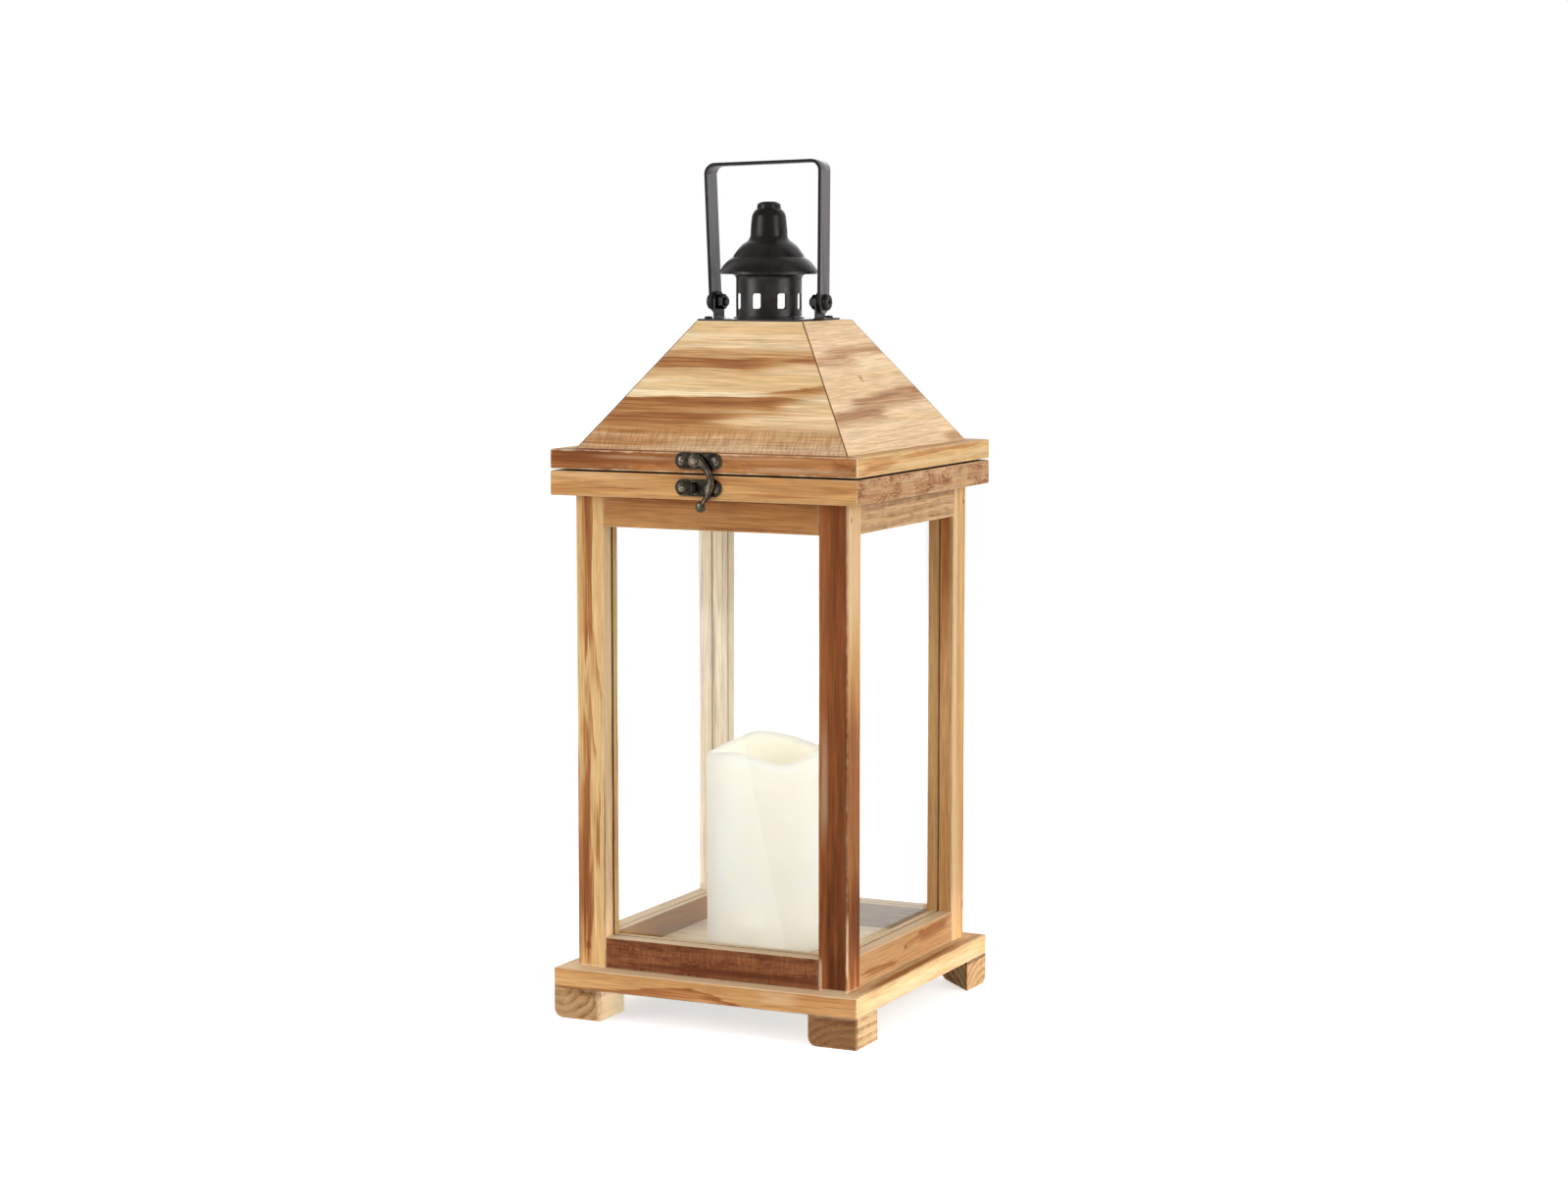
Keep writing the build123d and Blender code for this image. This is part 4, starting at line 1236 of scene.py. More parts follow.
@dataclass
class PaneFrame(Timberwork):
    """The posts and the rails that hold the panes."""

    easing: float = 0.35

    def post_looks(self) -> dict[str, WoodFinish]:
        """Finishes each post.

        Returns:
            The finishes, by the nodes' names.
        """
        russet = replace(HONEY, tan=(0.330, 0.104, 0.030), burn=(0.085, 0.021, 0.006))
        blond = replace(HONEY, pale=(0.765, 0.520, 0.240), honey=(0.690, 0.430, 0.180),
                        tan=(0.480, 0.200, 0.064), burn=(0.250, 0.080, 0.026))
        looks = {"post_front_left": WoodFinish(
            blond, Grain.UPRIGHT, 11, late=0.2,
            bands=(Band(-79.8, -11, 222, 345, 0.8, 16, 0.6),
                   Band(-71.2, -10, 192, 246, 0.5, 14, 0.7, -0.18),
                   Band(-75.5, -6, 150, 226, 0.55, 22, 0.7, -0.11),
                   Band(-80, -5, 140, 200, 0.55, 18, 0.7, -0.1),
                   Band(-74.8, -6.5, 86, 142, 0.75, 16, 0.7),
                   Band(-82.4, -8.5, 56, 150, 0.85, 16, 0.7),
                   Band(-80.4, -3.4, 46, 100, 0.75, 12, 0.6),
                   Band(-90.8, 2.4, 24, 190, 0.95, 30, 0.1),
                   Band(-81.2, -9, 10, 200, 0.7, 50, 1.4),
                   Band(-81, -6, 302, 340, 0.6, 6, 0.6),
                   Band(-71.3, -1.2, 60, 200, 0.6, 20, 0.4)),
            scorches=(Mark((-83.4, -90.5, 44.5), (2.4, 2, 3.6), 1, 0.8),
                      Mark((-83.4, -90.5, 46), (0.8, 2, 14), 0.7),
                      Mark((-87.6, -90.5, 80), (5.6, 2, 62), 0.5, 0.9, 1.2),
                      Mark((-90.4, -90.5, 76), (1.4, 2, 58), 0.9, 0.8, 1),
                      Mark((-85.6, -90.5, 70), (1, 2, 40), 0.8, 0.8, 1.4)),
            rubs_and_light=(Mark((-84, -90.5, 31.5), (ANY, 3, 1.2), 0.4, 0.6, 0.4),
                    Mark((-71.5, -86, 170), (1, 5, ANY), 0.6, 0.6, 0.5),
                    # a pale left edge on the front face: a painted highlight
                    Mark((-90.5, -90.5, 220), (1, 1, 120), 0.6, 0.6, 0.6)),
            # painted shade along its joints
            gap_shades=(Mark((-71.5, -79, 170), (0.8, 1.3, ANY), 0.95, 0.4, 0.3),
                  Mark((-71.5, -90.4, 84), (0.7, 0.6, 70), 0.7, 0.6, 1.2)))}
        looks["post_front_right"] = WoodFinish(
            russet, Grain.UPRIGHT, 12, late=0.25,
            scorches=(Mark((81, -93, 170), (ANY, 3.6, ANY), 0.58, 0.3, 0.3),
                      Mark((87.5, -93, 170), (15, 3.6, 420), 0.95, 1, 0.8),
                      Mark((81, -93, 66), (ANY, 3.6, 70), 0.8, 0.9),
                      Mark((92.5, -80, 130), (4, 16, 108), 0.55, 0.55, 0.8),
                      Mark((92.5, -80, 58), (4, 16, 46), 0.65, 0.8),
                      Mark((90.5, -85.4, 311.2), (1.1, 1.1, 1.7), 1),
                      Mark((84, -93, 38), (9, 3.6, 20), 1, 0.9, 1.4)),
            rubs_and_light=(Mark((90.5, -81, 285), (1.4, 16, 56), 0.5, 0.9, 1.2),
                    Mark((75.5, -90.5, 158), (2.6, 1.6, 44), 0.28, 1, 1.4),
                    Mark((73, -90.5, 40), (1.6, 1.6, 12), 0.5),
                    Mark((90.4, -90, 52), (1.1, 1.4, 22), 0.7, 0.7, 4.5),
                    Mark((82, -90.5, 31.6), (ANY, 3, 1), 0.45, 0.6, 1.4)))
        looks["post_rear_right"] = WoodFinish(
            HONEY, Grain.UPRIGHT, 13, late=0.25,
            scorches=(Mark((90.5, 86.8, 310.2), (1.1, 1.1, 1.6), 1),
                      Mark((90.5, 88.6, 52), (1.2, 2.2, 4), 0.7),
                      Mark((81, 71.5, 170), (ANY, 1.6, ANY), 0.3, 0.4, 0.3),
                      Mark((84.5, 71.5, 330), (5, 1.6, 130), 0.75, 0.9, 0.6)),
            rubs_and_light=(Mark((90.5, 72, 170), (1.4, 7, ANY), 0.5, 0.9, 0.6),),
            # painted shade where it meets the glass
            gap_shades=(Mark((80.2, 71.5, 170), (1.2, 1.2, ANY), 0.95, 0.4, 0.3),))
        return looks | self.plain("post_rear_left", CREAM, Grain.UPRIGHT, 14, 2)

    def bottom_looks(self) -> dict[str, WoodFinish]:
        """Finishes each bottom rail.

        Returns:
            The finishes, by the nodes' names.
        """
        looks = {"bottom_rail_front": WoodFinish(
            replace(WALNUT, pale=(0.330, 0.132, 0.052), honey=(0.235, 0.080, 0.029)),
            Grain.SIDEWAYS, 15, sawn=0.8, worn=0.15, blotch=0.75,
            bands=(Band(37, -8, -78, 78, 0.7, 20, 3),
                   Band(50, -16, -90, -50, 0.5, 24, 3)),
            rubs_and_light=(top_light_and_rub(50.3, 0.85),))}
        looks["bottom_rail_right"] = WoodFinish(
            replace(GOLD, pale=(0.500, 0.300, 0.135), honey=(0.415, 0.225, 0.090),
                    tan=(0.300, 0.125, 0.045)),
            Grain.DEEP, 16, late=0.3, worn=0.15,
            bands=(Band(39.5, -8, -75, -8, 0.8, 16, 2.4, -0.03),
                   Band(43.5, -6, -14, 40, 0.7, 16, 2.4, 0.06),
                   Band(47.5, -12, 16, 76, 0.75, 18, 2.4)),
            scorches=(right_mark(-1.8, 41.8, 3.6, 1.6, 0.85, 0.9),
                      right_mark(22.2, 46.6, 5, 1.5, 0.8, 0.9)),
            rubs_and_light=(top_light_and_rub(50.3, 0.6),))
        looks["bottom_rail_rear"] = WoodFinish(
            replace(HONEY, tan=(0.410, 0.340, 0.260), burn=(0.350, 0.280, 0.205)),
            Grain.SIDEWAYS, 17, late=0.2,
            scorches=(Mark((0, 71, 42), (ANY, 4, ANY), 0.75, 0.2, 0.2),),
            rubs_and_light=(top_light_and_rub(50.3, 0.6),))
        looks["bottom_rail_left"] = WoodFinish(
            replace(HONEY, tan=(0.500, 0.235, 0.020), burn=(0.340, 0.150, 0.012)),
            Grain.DEEP, 18, late=0.3,
            scorches=(Mark((-71, 0, 42), (4, ANY, ANY), 0.75, 0.2, 0.2),),
            rubs_and_light=(top_light_and_rub(50.3, 0.6),))
        return looks

    def top_looks(self) -> dict[str, WoodFinish]:
        """Finishes each top rail.

        Returns:
            The finishes, by the nodes' names.
        """
        toffee = replace(AMBER, pale=(0.490, 0.250, 0.090), honey=(0.390, 0.170, 0.055))
        looks = {"top_rail_front": WoodFinish(
            toffee, Grain.SIDEWAYS, 19, late=0.35, worn=0.2,
            # a darker upper part: painted shade under the collar
            bands=(Band(322, -5.5, -80, 90, 0.75, 30, 1),
                   Band(316.5, -2, -72, 0, 0.5, 24),
                   Band(311.5, -3.4, 14, 74, 0.4, 22),
                   Band(304.4, -3.6, -20, 80, 0.6, 24, 1.4)))}
        looks["top_rail_right"] = WoodFinish(
            replace(BUFF, pale=(0.660, 0.430, 0.225), honey=(0.550, 0.335, 0.165),
                    late=(0.310, 0.165, 0.083), tan=(0.430, 0.250, 0.135), burn=(0.240, 0.115, 0.056)),
            Grain.DEEP, 20, ring=3.2, late=0.7, pores=0.8, worn=0.15,
            bands=(Band(322, -6, -90, 90, 0.6, 20, 1),
                   Band(316, -5, -84, -30, 0.55, 18)))
        looks |= self.plain("top_rail_rear", HONEY, Grain.SIDEWAYS, 21)
        return looks | self.plain("top_rail_left", HONEY, Grain.DEEP, 22)

    def looks(self) -> dict[str, WoodFinish]:
        """The finish of each board, by its node's name."""
        return self.post_looks() | self.bottom_looks() | self.top_looks()


@dataclass
class CollarAndLid(Timberwork):
    """The two mitred frames that meet where the lid opens."""

    easing: float = 0.0

    def looks(self) -> dict[str, WoodFinish]:
        """Finishes each board.

        Returns:
            The finishes, by the nodes' names.
        """
        looks = {"collar_rail_front": WoodFinish(
            GOLD, Grain.SIDEWAYS, 41, late=0.3,
            bands=(Band(329.5, -3, -104, -72, 0.5, 12),
                   Band(327.5, -2.2, -84, -24, 0.55, 18, 0.7),
                   Band(326, -4, 16, 80, 0.6, 20),
                   Band(331, -6, 64, 104, 0.5, 12),
                   Band(323, -3, -60, 40, 0.3, 26)),
            rubs_and_light=(front_mark(-70, 333.6, 44, 2.2, 0.25, 0.9),),
            # painted shade on its top face, in the joint under the lid
            gap_shades=(Mark((0, -98, 336.4), (ANY, 9, 0.6), 0.9, 0.5, 0.3),))}
        looks["collar_rail_right"] = WoodFinish(
            replace(HONEY, pale=(0.610, 0.405, 0.225), honey=(0.540, 0.330, 0.165),
                    tan=(0.420, 0.205, 0.095), burn=(0.250, 0.095, 0.044)),
            Grain.DEEP, 42, sawn=0.3, worn=0.25, blotch=0.9,
            bands=(Band(327, -8, -104, -64, 0.6, 12, 3),
                   Band(331.5, -6, -20, 22, 0.4, 14, 3),
                   Band(334, -11, 66, 96, 0.5, 10, 2)),
            # painted shade on its top face, in the joint under the lid
            gap_shades=(Mark((98, 0, 336.4), (9, ANY, 0.6), 0.9, 0.5, 0.3),))
        looks["lid_rail_front"] = WoodFinish(
            AMBER, Grain.SIDEWAYS, 43, late=0.3, sawn=0.15, worn=0.65, blotch=0.55,
            bands=(Band(352, -26, -140, -26, 0.85, 50, 2),
                   Band(345, -6, -70, 0, 0.5, 24, 2),
                   Band(350, -3.6, -104, 104, 0.55, 12),
                   # a dark lower edge: painted shadow of the joint between the lid and the collar
                   Band(336.6, 2.6, -110, 110, 0.6, 10, 0.4),
                   Band(344, -5, 6, 70, 0.28, 26, 2)),
            rubs_and_light=(Mark((101.5, -101.5, 343), (0.9, 0.9, 6.4), 0.9, 0.6, 0.5),
                    front_mark(62, 340.6, 44, 2, 0.3, 0.9),
                    front_mark(-44, 345.2, 34, 1.6, 0.25, 0.9),
                    front_mark(30, 346.6, 60, 1.2, 0.22, 0.9)))
        looks["lid_rail_right"] = WoodFinish(
            HONEY, Grain.DEEP, 44, ring=8.0, late=0.25, worn=0.4,
            bands=(Band(338.2, 13, -106, -30, 0.55, 24, 1.6, 0.05),
                   Band(344.2, 8, -40, 96, 0.5, 22, 0.8, 0.02)),
            rubs_and_light=(right_mark(20, 341, 90, 1.6, 0.4, 0.9),
                    right_mark(86, 343, 14, 2.6, 0.35, 0.9)))
        looks |= self.plain("collar_rail_rear", HONEY, Grain.SIDEWAYS, 45)
        looks |= self.plain("collar_rail_left", HONEY, Grain.DEEP, 46)
        looks |= self.plain("lid_rail_rear", AMBER, Grain.SIDEWAYS, 47)
        return looks | self.plain("lid_rail_left", HONEY, Grain.DEEP, 48)


@dataclass
class Roof(Timberwork):
    """The four sloped boards of the roof, scorched in broad bands along their grain."""

    easing: float = 0.4

    def looks(self) -> dict[str, WoodFinish]:
        """Finishes each board.

        Returns:
            The finishes, by the nodes' names.
        """
        looks = {"roof_board_front": WoodFinish(
            STRAW, Grain.SIDEWAYS, 51, ring=7.0, late=0.18, sawn=0.95, sawn_top=362.0, worn=0.1,
            shape=Shape.ROOF,
            bands=(Band(403.8, 9.5, -70, 75, 0.55, 22, 3),
                   Band(403.8, -15, -90, 40, 1, 34, 0.7),
                   Band(403.6, -9, -30, 80, 0.6, 24, 0.9),
                   Band(404.8, -5.5, 34, 80, 0.7, 14, 1.2),
                   Band(380.4, -13.5, -100, 58, 1, 30, 0.8),
                   Band(381.6, -11, 8, 110, 0.8, 24, 1.4, 0.12),
                   Band(371.1, -13, -120, 26, 1, 44, 0.8),
                   Band(371.6, -4.5, -30, 60, 0.42, 30, 1.4),
                   Band(360.2, -3.4, -110, -36, 0.5, 24, 0.7),
                   Band(364, -30, -150, 150, 0.5, 10, 8),
                   Band(381, -24, -130, 30, 0.45, 60, 3),
                   Band(356, -12, -120, -10, 0.35, 36, 4)))}
        looks["roof_board_right"] = WoodFinish(
            BUFF, Grain.DEEP, 52, ring=7.0, late=0.18, worn=0.1, shape=Shape.ROOF,
            bands=(Band(404.4, 9, -44, 80, 0.7, 30, 4),
                   Band(405, -13, -70, 16, 0.7, 26, 4),
                   Band(378.4, -15, -56, 96, 0.95, 30, 4, 0.045),
                   Band(373, -13, -94, 4, 0.9, 26, 4),
                   Band(362, -4, -50, 60, 0.3, 30, 1.6)),
            scorches=(right_mark(78, 352, 24, 5, 0.6, 0.9),
                      right_mark(-5.3, 390.4, 4.2, 3.2, 0.5, 0.9),
                      right_mark(-5.3, 390.4, 1.4, 1.2, 0.7, 0.9),
                      right_mark(64, 381, 16, 3, 0.4, 0.9)))
        looks |= self.plain("roof_board_rear", STRAW, Grain.SIDEWAYS, 53, 5)
        return looks | self.plain("roof_board_left", STRAW, Grain.DEEP, 54, 5)


@dataclass
class CapAndBail:
    """The sheet cap plate, the vented chimney, its spun cap and the bail handle.

    Attributes:
        paint: The finish of the plate, the spun cap and the fasteners.
        lightened_tube: The finish of the chimney, a paler copy of the cap's paint that paints light onto it.
        strap: The finish of the handle.
        strap_edge: The width of the handle's eased edges.
    """

    paint: PaintedSheet = PaintedSheet(
        (0.0075, 0.0055, 0.0045), (0.0140, 0.0103, 0.0084), (0.07, 0.052, 0.040), 0.36, 0.3)
    # the cap's paint made paler: painted light that brightens the chimney
    lightened_tube: PaintedSheet = PaintedSheet(
        (0.0105, 0.0074, 0.0060), (0.0195, 0.0140, 0.0113), (0.08, 0.059, 0.045), 0.36, 0.42)
    strap: PaintedSheet = PaintedSheet(
        (0.0600, 0.0465, 0.0485), (0.0740, 0.0580, 0.0600), (0.09, 0.075, 0.07), 0.34, 0.15, wear=0.1,
        coat=0.9, rim=(0.0060, 0.0048, 0.0048))
    strap_edge: float = 0.25

    def dress(self) -> None:
        """Paints every piece of the cap and the handle."""
        sheet, strap = self.paint.material("cap_paint"), self.strap.material("handle_paint")
        dress(self.lightened_tube.material("chimney_paint_lightened"), "chimney")
        dress(sheet, "cap_plate", "cap_screws", "chimney_cap", "bail_bolts", "bail_nuts")
        dress(strap, "bail_handle")
        soften("bail_handle", self.strap_edge)


@dataclass
class SwingHook:
    """The latch's hook: a ridged, curved arm from the rivet's eye to a ball tail.

    Attributes:
        outline: Points of the arm's outer and inner edge, right of and above the rivet.
        steps: How many cuts lie between two pairs of points.
        swell: How far the arm's ridge stands out from its back.
        rim: How far its two edges stand out.
        bore: Radius of the eye's hole.
        eye: Radius of the eye.
        tail: The ball's middle, right of and above the rivet.
        ball: The ball's radius.
        depth: Half the ball's thickness from front to back.
        tip: Radius of the ball's flat tip.
        shoulder: The eye's rounded edge: how far inside its radius, at which share of its thickness.
        facets: How many facets go round the eye and the ball.
        across: How many facets go across the arm.
        lean: Where the ridge lies, below 1 nearer to the outer edge than to the inner one.
        crown: How steep the ridge is, below 1 fuller than a sine.
    """

    outline: tuple[tuple[float, float, float, float], ...] = (
        (2.6, 3.7, 3.0, -3.1), (6.0, 1.4, 4.3, -4.2), (9.7, -3.4, 6.4, -6.8), (12.0, -8.6, 7.8, -9.6),
        (12.9, -12.8, 7.0, -13.0), (12.2, -17.0, 5.3, -15.0), (9.6, -21.6, 6.3, -20.0),
        (6.9, -24.4, 4.5, -23.2), (5.5, -25.9, 3.4, -25.3))
    steps: int = 6
    swell: float = 2.3
    rim: float = 0.9
    bore: float = 1.58
    eye: float = 4.4
    tail: tuple[float, float] = (4.1, -27.0)
    ball: float = 3.3
    depth: float = 1.3
    tip: float = 0.02
    shoulder: tuple[tuple[float, float], ...] = ((0.0, 0.55), (0.35, 0.85), (1.0, 1.0))
    facets: int = 40
    across: int = 12
    lean: float = 0.62
    crown: float = 0.7

    def stations(self) -> list[tuple[Vector, Vector]]:
        """Smooths the arm's outline.

        Returns:
            Pairs of an outer and an inner point, from the eye to the tail.
        """
        points = [Vector(four) for four in self.outline]
        ends = [2 * points[0] - points[1], *points, 2 * points[-1] - points[-2]]
        smooth = []
        for before, first, second, after in zip(ends, ends[1:], ends[2:], ends[3:]):
            for step in range(self.steps):
                t = step / self.steps
                spot = 0.5 * (2 * first + (second - before) * t
                              + (2 * before - 5 * first + 4 * second - after) * t ** 2
                              + (3 * first - before - 3 * second + after) * t ** 3)
                smooth.append(spot)
        smooth.append(points[-1])
        return [(Vector(spot[:2]), Vector(spot[2:])) for spot in smooth]

    def arm(self, mesh: Mesh, place: Place) -> None:
        """Builds the arm, with its ridge nearer to the outer edge.

        Args:
            mesh: The mesh.
            place: Turns a distance right of the rivet, one above it and one from the back into a point.
        """
        shares = [index / self.across for index in range(self.across + 1)]
        rings = []
        for outer, inner in self.stations():
            ring = []
            for share in shares:
                spot = outer.lerp(inner, share)
                rise = math.sin(math.pi * share ** self.lean) ** self.crown if 0 < share < 1 else 0.0
                ring.append(mesh.verts.new(place(spot.x, spot.y, self.rim + (self.swell - self.rim) * rise)))
            ring += [mesh.verts.new(place(spot.x, spot.y, 0.0)) for spot in (inner, outer)]
            rings.append(ring)
        skin(mesh, rings, closed=False)
        mesh.faces.new(rings[0])
        mesh.faces.new(reversed(rings[-1]))

    def turned(self, mesh: Mesh, place: Place,
               middle: tuple[float, float], profile: Sequence[tuple[float, float]]) -> None:
        """Builds a turned ring whose axis points to the front.

        Args:
            mesh: The mesh.
            place: Turns a distance right of the rivet, one above it and one from the back into a point.
            middle: The axis, right of and above the rivet.
            profile: Pairs of radius and distance from the back, closed on itself.
        """
        rings = []
        for index in range(self.facets):
            turn = math.tau * index / self.facets
            rings.append([mesh.verts.new(place(middle[0] + r * math.cos(turn),
                                               middle[1] + r * math.sin(turn), out))
                          for r, out in profile])
        skin(mesh, rings, closed=True)

    def build(self, brass: Material) -> bpy.types.Object:
        """Builds the hook in the place of its flat solid.

        Args:
            brass: Its material.

        Returns:
            The new piece.
        """
        low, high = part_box("latch_hook")
        head_low, head_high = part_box("latch_rivet")
        rivet = (head_low + head_high) / 2

        def place(right: float, above: float, out: float) -> Vector:
            """A point of the hook in the frame."""
            return Vector((rivet.x + right * MM, high.y - out * MM, rivet.z + above * MM))

        mesh = bmesh.new()
        self.arm(mesh, place)
        deep = (high.y - low.y) / MM
        self.turned(mesh, place, (0.0, 0.0), [
            (self.bore, 0.0), (self.eye, 0.0),
            *((self.eye - inset, share * deep) for inset, share in self.shoulder), (self.bore, deep)])
        arc = [math.radians(angle) for angle in range(-90, 91, 15)]
        self.turned(mesh, place, self.tail, [
            (max(self.ball * math.cos(turn), self.tip),
             self.depth + self.depth * math.sin(turn)) for turn in arc])
        piece = new_piece("curved_hook", mesh, "hook", brass)
        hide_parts("latch_hook")
        return piece


@dataclass
class LatchAndHinges:
    """The swing latch on the front and the two butt hinges on the back.

    Attributes:
        brass: The finish of the plates and the hinges.
        hook_brass: The finish of the hook.
        rivet: The finish of the hook's rivet.
        screw: The finish of the screws.
        plate_edge: The width of the plates' eased edges.
        hook: The hook.
    """

    brass: AgedBrass = AgedBrass((0.013, 0.0105, 0.008), (0.033, 0.026, 0.019), (0.50, 0.42, 0.30), 0.34)
    hook_brass: AgedBrass = AgedBrass((0.050, 0.041, 0.031), (0.130, 0.105, 0.075), (0.55, 0.46, 0.33), 0.30)
    rivet: AgedBrass = AgedBrass((0.150, 0.120, 0.095), (0.210, 0.170, 0.130), (0.42, 0.35, 0.27), 0.42)
    screw: AgedBrass = AgedBrass((0.050, 0.042, 0.034), (0.110, 0.092, 0.072), (0.60, 0.50, 0.37), 0.32)
    plate_edge: float = 0.35
    hook: SwingHook = field(default_factory=SwingHook)

    def dress(self) -> None:
        """Plates every piece of the latch and the hinges."""
        dress(self.brass.material("latch_plating"), "latch_plate", "keeper_plate", "hinge_body_leaves",
              "hinge_lid_leaves", "hinge_pins")
        dress(self.screw.material("screw_plating"), "body_screws", "lid_screws")
        dress(self.rivet.material("rivet_plating"), "latch_rivet")
        self.hook.build(self.hook_brass.material("hook_plating"))
        for node in ("latch_plate", "keeper_plate"):
            soften(node, self.plate_edge)


@dataclass
class Panes:
    """The four loose panes."""

    glass: PaneGlass = PaneGlass((0.968, 0.982, 0.988))

    def dress(self) -> None:
        """Glazes the four sides."""
        dress(self.glass.material("float_glass"), *(f"glass_{side}" for side in SIDES))


@dataclass
class PillarCandle:
    """The wax pillar with its melted rim, and what stands inside it.

    Attributes:
        wax: The finish of the pillar.
        plastic: The finish of the battery box and its door.
        switch: The finish of the switch.
        jacket: The finish of the cells.
        strip: The finish of the contacts.
        lens: The finish of the lamp.
        rim: Heights of the rim over the pillar's foot, by angle from the front towards the right.
        lip: Width of the rim's rounded lip.
        foot_round: Radius of the pillar's bottom edge.
        well: Radius of the hollow top.
        well_floor: Height of the hollow's floor.
        bowl: The hollow's rounded corner: how far inside its wall, how high over its floor.
        shaft: Radius of the hole for the lamp's stem.
        cavity: Radius of the battery cavity.
        cavity_top: Height of its ceiling.
        sectors: How many facets go round.
    """

    wax: Wax = Wax((0.95, 0.905, 0.795), (0.93, 0.87, 0.745))
    plastic: Moulded = Moulded((0.80, 0.77, 0.69), (0.74, 0.71, 0.62), 0.5)
    switch: Moulded = Moulded((0.03, 0.03, 0.03), (0.05, 0.05, 0.05), 0.45)
    jacket: Moulded = Moulded((0.05, 0.06, 0.08), (0.08, 0.09, 0.11), 0.35, 0.4)
    strip: Moulded = Moulded((0.62, 0.61, 0.58), (0.70, 0.69, 0.66), 0.3, 1.0)
    lens: Moulded = Moulded((1.0, 0.87, 0.66), (1.0, 0.90, 0.72), 0.2, glow=20.0)
    rim: tuple[tuple[float, float], ...] = (
        (-64.6, 121.9), (-28.0, 124.6), (-4.6, 125.9), (41.0, 118.9), (66.0, 122.3), (110.0, 125.0),
        (149.0, 124.4), (216.0, 130.0), (242.0, 125.3), (270.0, 121.9))
    lip: float = 6.4
    foot_round: float = 1.4
    well: float = 31.0
    well_floor: float = 104.0
    bowl: tuple[tuple[float, float], ...] = ((0.3, 4.0), (2.2, 1.5), (6.0, 0.4))
    shaft: float = 4.2
    cavity: float = 29.0
    cavity_top: float = 57.2
    sectors: int = 144

    def rim_height(self, angle: float) -> float:
        """The rim's height at an angle.

        Args:
            angle: Degrees from the front towards the right.

        Returns:
            The height over the pillar's foot, from a smooth curve through the rim's points.
        """
        count = len(self.rim)
        turn = (angle - self.rim[0][0]) % 360.0 + self.rim[0][0]
        later = [i for i in range(count) if self.rim[i][0] > turn]
        right = later[0] if later else count
        spots = []
        for i in range(right - 2, right + 2):
            laps, place = divmod(i, count)
            spots.append((self.rim[place][0] + 360.0 * laps, self.rim[place][1]))
        (a0, h0), (a1, h1), (a2, h2), (a3, h3) = spots
        span = a2 - a1
        t = (turn - a1) / span
        slope1 = (h2 - h0) / (a2 - a0) * span
        slope2 = (h3 - h1) / (a3 - a1) * span
        return ((2 * t ** 3 - 3 * t ** 2 + 1) * h1 + (t ** 3 - 2 * t ** 2 + t) * slope1
                + (3 * t ** 2 - 2 * t ** 3) * h2 + (t ** 3 - t ** 2) * slope2)

    def outline(self, radius: float, top: float) -> list[tuple[float, float]]:
        """The pillar's cut face at one angle, from its foot round over the rim to the cavity.

        Args:
            radius: The pillar's radius.
            top: The rim's height there.

        Returns:
            Pairs of radius and height.
        """
        points = []
        for step in range(5):
            turn = math.radians(90.0 * step / 4)
            points.append((radius - self.foot_round * (1 - math.sin(turn)),
                           self.foot_round * (1 - math.cos(turn))))
        half = self.lip / 2
        points += [(radius, top * share) for share in (0.25, 0.5, 0.75)]
        for step in range(9):
            turn = math.radians(180.0 * step / 8)
            points.append((radius - half + half * math.cos(turn), top - half + half * math.sin(turn)))
        floor = self.well_floor
        points.append((self.well + 0.5, (top + floor) / 2 + 2.0))
        points += [(self.well - inset, floor + above) for inset, above in self.bowl]
        points += [(self.shaft + 2.0, floor), (self.shaft, floor - 0.6), (self.shaft, self.cavity_top),
                   (self.cavity, self.cavity_top), (self.cavity, 0.0)]
        return points

    def build(self, wax: Material) -> bpy.types.Object:
        """Builds the wax pillar in the place of its plain solid.

        Args:
            wax: Its material.

        Returns:
            The new piece.
        """
        low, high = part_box("candle_wax")
        centre = (low + high) / 2
        radius = (high.x - low.x) / 2 / MM
        mesh = bmesh.new()
        rings = []
        for sector in range(self.sectors):
            angle = 360.0 * sector / self.sectors
            side = Vector((math.sin(math.radians(angle)), -math.cos(math.radians(angle)), 0.0))
            spot = Vector((centre.x, centre.y, low.z))
            rings.append([mesh.verts.new(spot + side * r * MM + Vector((0.0, 0.0, z * MM)))
                          for r, z in self.outline(radius, self.rim_height(angle))])
        skin(mesh, rings, closed=True)
        piece = new_piece("melted_pillar", mesh, "candle", wax)
        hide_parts("candle_wax")
        return piece

    def dress(self) -> None:
        """Builds the wax and finishes what stands in it."""
        self.build(self.wax.material("ivory_wax"))
        dress(self.plastic.material("box_moulding"), "battery_box", "battery_door")
        dress(self.switch.material("switch_moulding"), "candle_switch")
        dress(self.jacket.material("cell_jacket"), "battery_cells")
        dress(self.strip.material("contact_strip"), "battery_contacts")
        dress(self.lens.material("lamp_lens"), "lamp")


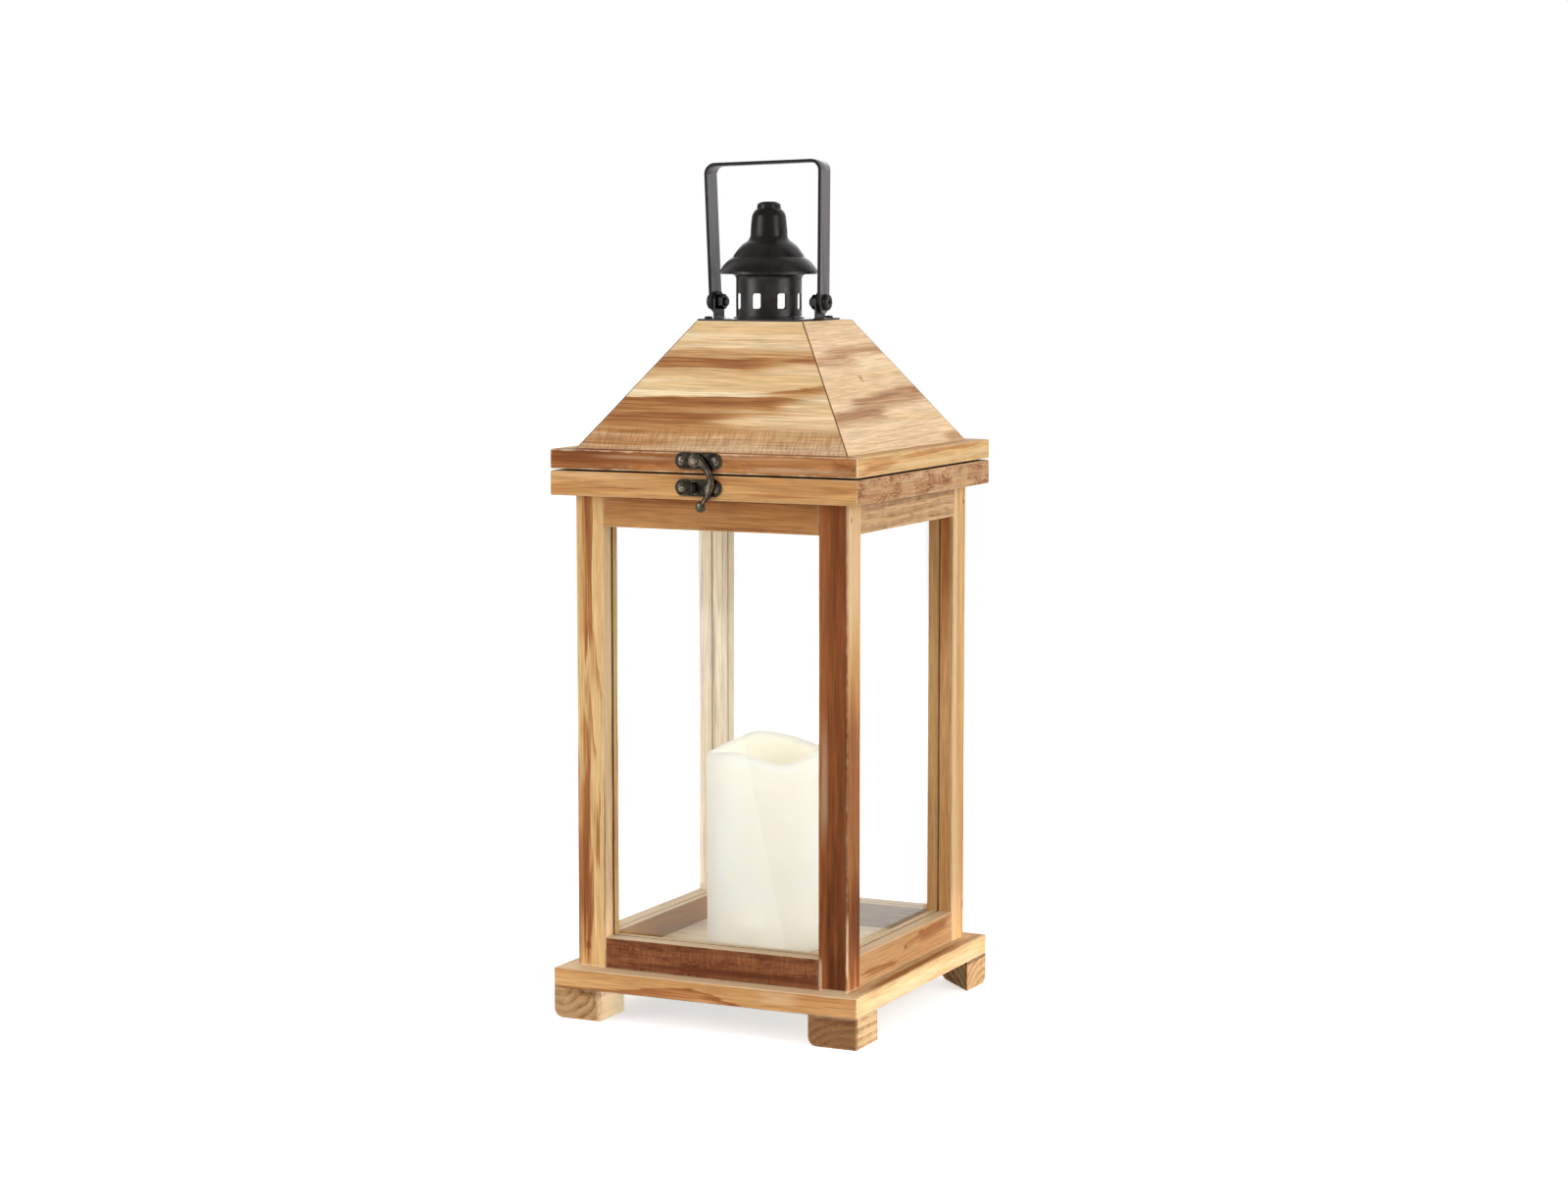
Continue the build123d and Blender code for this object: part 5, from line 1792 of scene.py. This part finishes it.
@dataclass
class Softbox:
    """A flat studio lamp.

    Attributes:
        name: Its name.
        at: Its middle.
        aim: The point that it faces.
        size: Its width and height.
        power: Its light in watts.
        turn: How far it is turned about its own axis, in degrees.
        spread: How widely it shines, in degrees.
        glare: Whether it only shows as a glare on the glass and lights nothing.
    """

    name: str
    at: Point
    aim: Point
    size: tuple[float, float]
    power: float
    turn: float = 0.0
    spread: float = 180.0
    glare: bool = False

    def build(self) -> None:
        """Hangs the lamp."""
        lamp = bpy.data.lights.new(self.name, "AREA")
        lamp.shape = "RECTANGLE"
        lamp.size, lamp.size_y = self.size[0] * MM, self.size[1] * MM
        lamp.energy = self.power
        lamp.spread = math.radians(self.spread)
        holder = bpy.data.objects.new(self.name, lamp)
        holder.location = Vector(self.at) * MM
        facing = (Vector(self.aim) - Vector(self.at)).to_track_quat("-Z", "Y")
        holder.rotation_euler = (facing @ Quaternion((0.0, 0.0, 1.0), math.radians(self.turn))).to_euler()
        holder.visible_camera = False
        if self.glare:
            holder.visible_diffuse = holder.visible_transmission = False
        bpy.context.scene.collection.objects.link(holder)


@dataclass
class Studio:
    """The white studio: floor, sky, lamps and camera.

    Attributes:
        eye: Where the camera stands.
        look_at: The point that it faces.
        lens: Its focal length.
        sensor: The width of its sensor.
        sight: How far it sees.
        floor_size: The width of the floor.
        floor_white: How pale the floor is.
        floor_lift: The light that makes it look white.
        sky: How strongly the sky lights.
        gloom: How bright the sky is in mirror images from the front.
        front: Where that gloom ends and where the full sky begins, as parts of a direction's Y.
        lamps: The lamps.
    """

    eye: Point = (875.1, -1829.3, 473.8)
    look_at: Point = (5.12, 2.43, 252.89)
    lens: float = 75.49
    sensor: float = 36.0
    sight: float = 100000.0
    floor_size: float = 14000.0
    floor_white: float = 0.82
    floor_lift: float = 0.62
    sky: float = 0.66
    gloom: float = 0.28
    front: tuple[float, float] = (-0.3, 0.45)
    lamps: tuple[Softbox, ...] = (
        Softbox("left_softbox", (-1300.0, -1700.0, 750.0), (0.0, 0.0, 200.0), (1000.0, 1200.0), 17.0),
        Softbox("right_softbox", (1750.0, -250.0, 700.0), (0.0, 0.0, 200.0), (1200.0, 1200.0), 15.0),
        Softbox("rear_softbox", (-700.0, 1700.0, 900.0), (0.0, 0.0, 150.0), (1400.0, 1000.0), 9.0),
        Softbox("low_softbox", (1300.0, -350.0, 10.0), (0.0, 0.0, 10.0), (900.0, 16.0), 0.18, spread=6.0),
        Softbox("pane_glare", (-211.0, -290.0, 110.0), (-211.0, 0.0, 110.0), (260.0, 330.0), 0.30, turn=12.6,
                glare=True),
    )

    def camera(self) -> None:
        """Sets the camera where the photo was taken."""
        data = bpy.data.cameras.new("camera")
        data.lens, data.sensor_width = self.lens, self.sensor
        data.clip_end = self.sight * MM
        holder = bpy.data.objects.new("camera", data)
        holder.location = Vector(self.eye) * MM
        holder.rotation_euler = (Vector(self.look_at) - Vector(self.eye)).to_track_quat("-Z", "Y").to_euler()
        bpy.context.scene.collection.objects.link(holder)
        bpy.context.scene.camera = holder

    def floor(self) -> None:
        """Lays a pale floor that looks white and keeps the shadow."""
        half = self.floor_size / 2 * MM
        mesh = bmesh.new()
        corners = ((-half, -half), (half, -half), (half, half), (-half, half))
        mesh.faces.new([mesh.verts.new((x, y, 0.0)) for x, y in corners])
        data = bpy.data.meshes.new("floor")
        mesh.to_mesh(data)
        mesh.free()
        made = Surface("floor_paper")
        path = made.node("ShaderNodeLightPath").outputs
        shown = made.math("MAXIMUM", path["Is Camera Ray"], path["Is Transmission Ray"])
        teeth = made.mottle(400.0, 2.0)["Teeth"]
        made.shade(Base_Color=(*[self.floor_white] * 3, 1.0), Specular_IOR_Level=0.0,
                   Roughness=made.ease(teeth, 0.2, 0.8, 0.85, 1.0), Emission_Color=(1.0, 1.0, 1.0, 1.0),
                   Emission_Strength=made.math("MULTIPLY", shown, self.floor_lift))
        data.materials.append(made.material)
        piece = bpy.data.objects.new("floor", data)
        bpy.context.scene.collection.objects.link(piece)

    def world(self) -> None:
        """Makes a sky that lights evenly, shows as white and mirrors darker from the front."""
        world = bpy.data.worlds.new("studio")
        bpy.context.scene.world = world
        world.use_nodes = True
        tree = Tree(world.node_tree)
        sky = world.node_tree.nodes["Background"]
        sky.inputs["Color"].default_value = (1.0, 1.0, 1.0, 1.0)
        path = tree.node("ShaderNodeLightPath").outputs
        shown = tree.math("MAXIMUM", path["Is Camera Ray"], path["Is Transmission Ray"])
        plain = tree.ease(shown, 0.0, 1.0, self.sky, 1.0)
        ahead = tree.split(tree.node("ShaderNodeTexCoord").outputs["Generated"])[1]
        mirrored = tree.ease(ahead, *self.front, self.gloom, 1.0)
        apart = tree.math("MULTIPLY", tree.math("SUBTRACT", mirrored, plain), path["Is Glossy Ray"])
        tree.feed(sky.inputs["Strength"], tree.math("ADD", plain, apart))

    def build(self) -> None:
        """Sets up the whole studio."""
        bpy.context.scene.view_settings.view_transform = "Standard"
        self.camera()
        self.floor()
        self.world()
        for lamp in self.lamps:
            lamp.build()


def main() -> None:
    """Builds the studio and dresses every piece in order."""
    logging.basicConfig(level=logging.INFO, format="%(name)s %(message)s")
    Studio().build()
    for assembly in (BaseFrame(), PaneFrame(), CollarAndLid(), Roof(), CapAndBail(), LatchAndHinges(),
                     Panes(), PillarCandle()):
        assembly.dress()


if __name__ == "__main__":
    main()
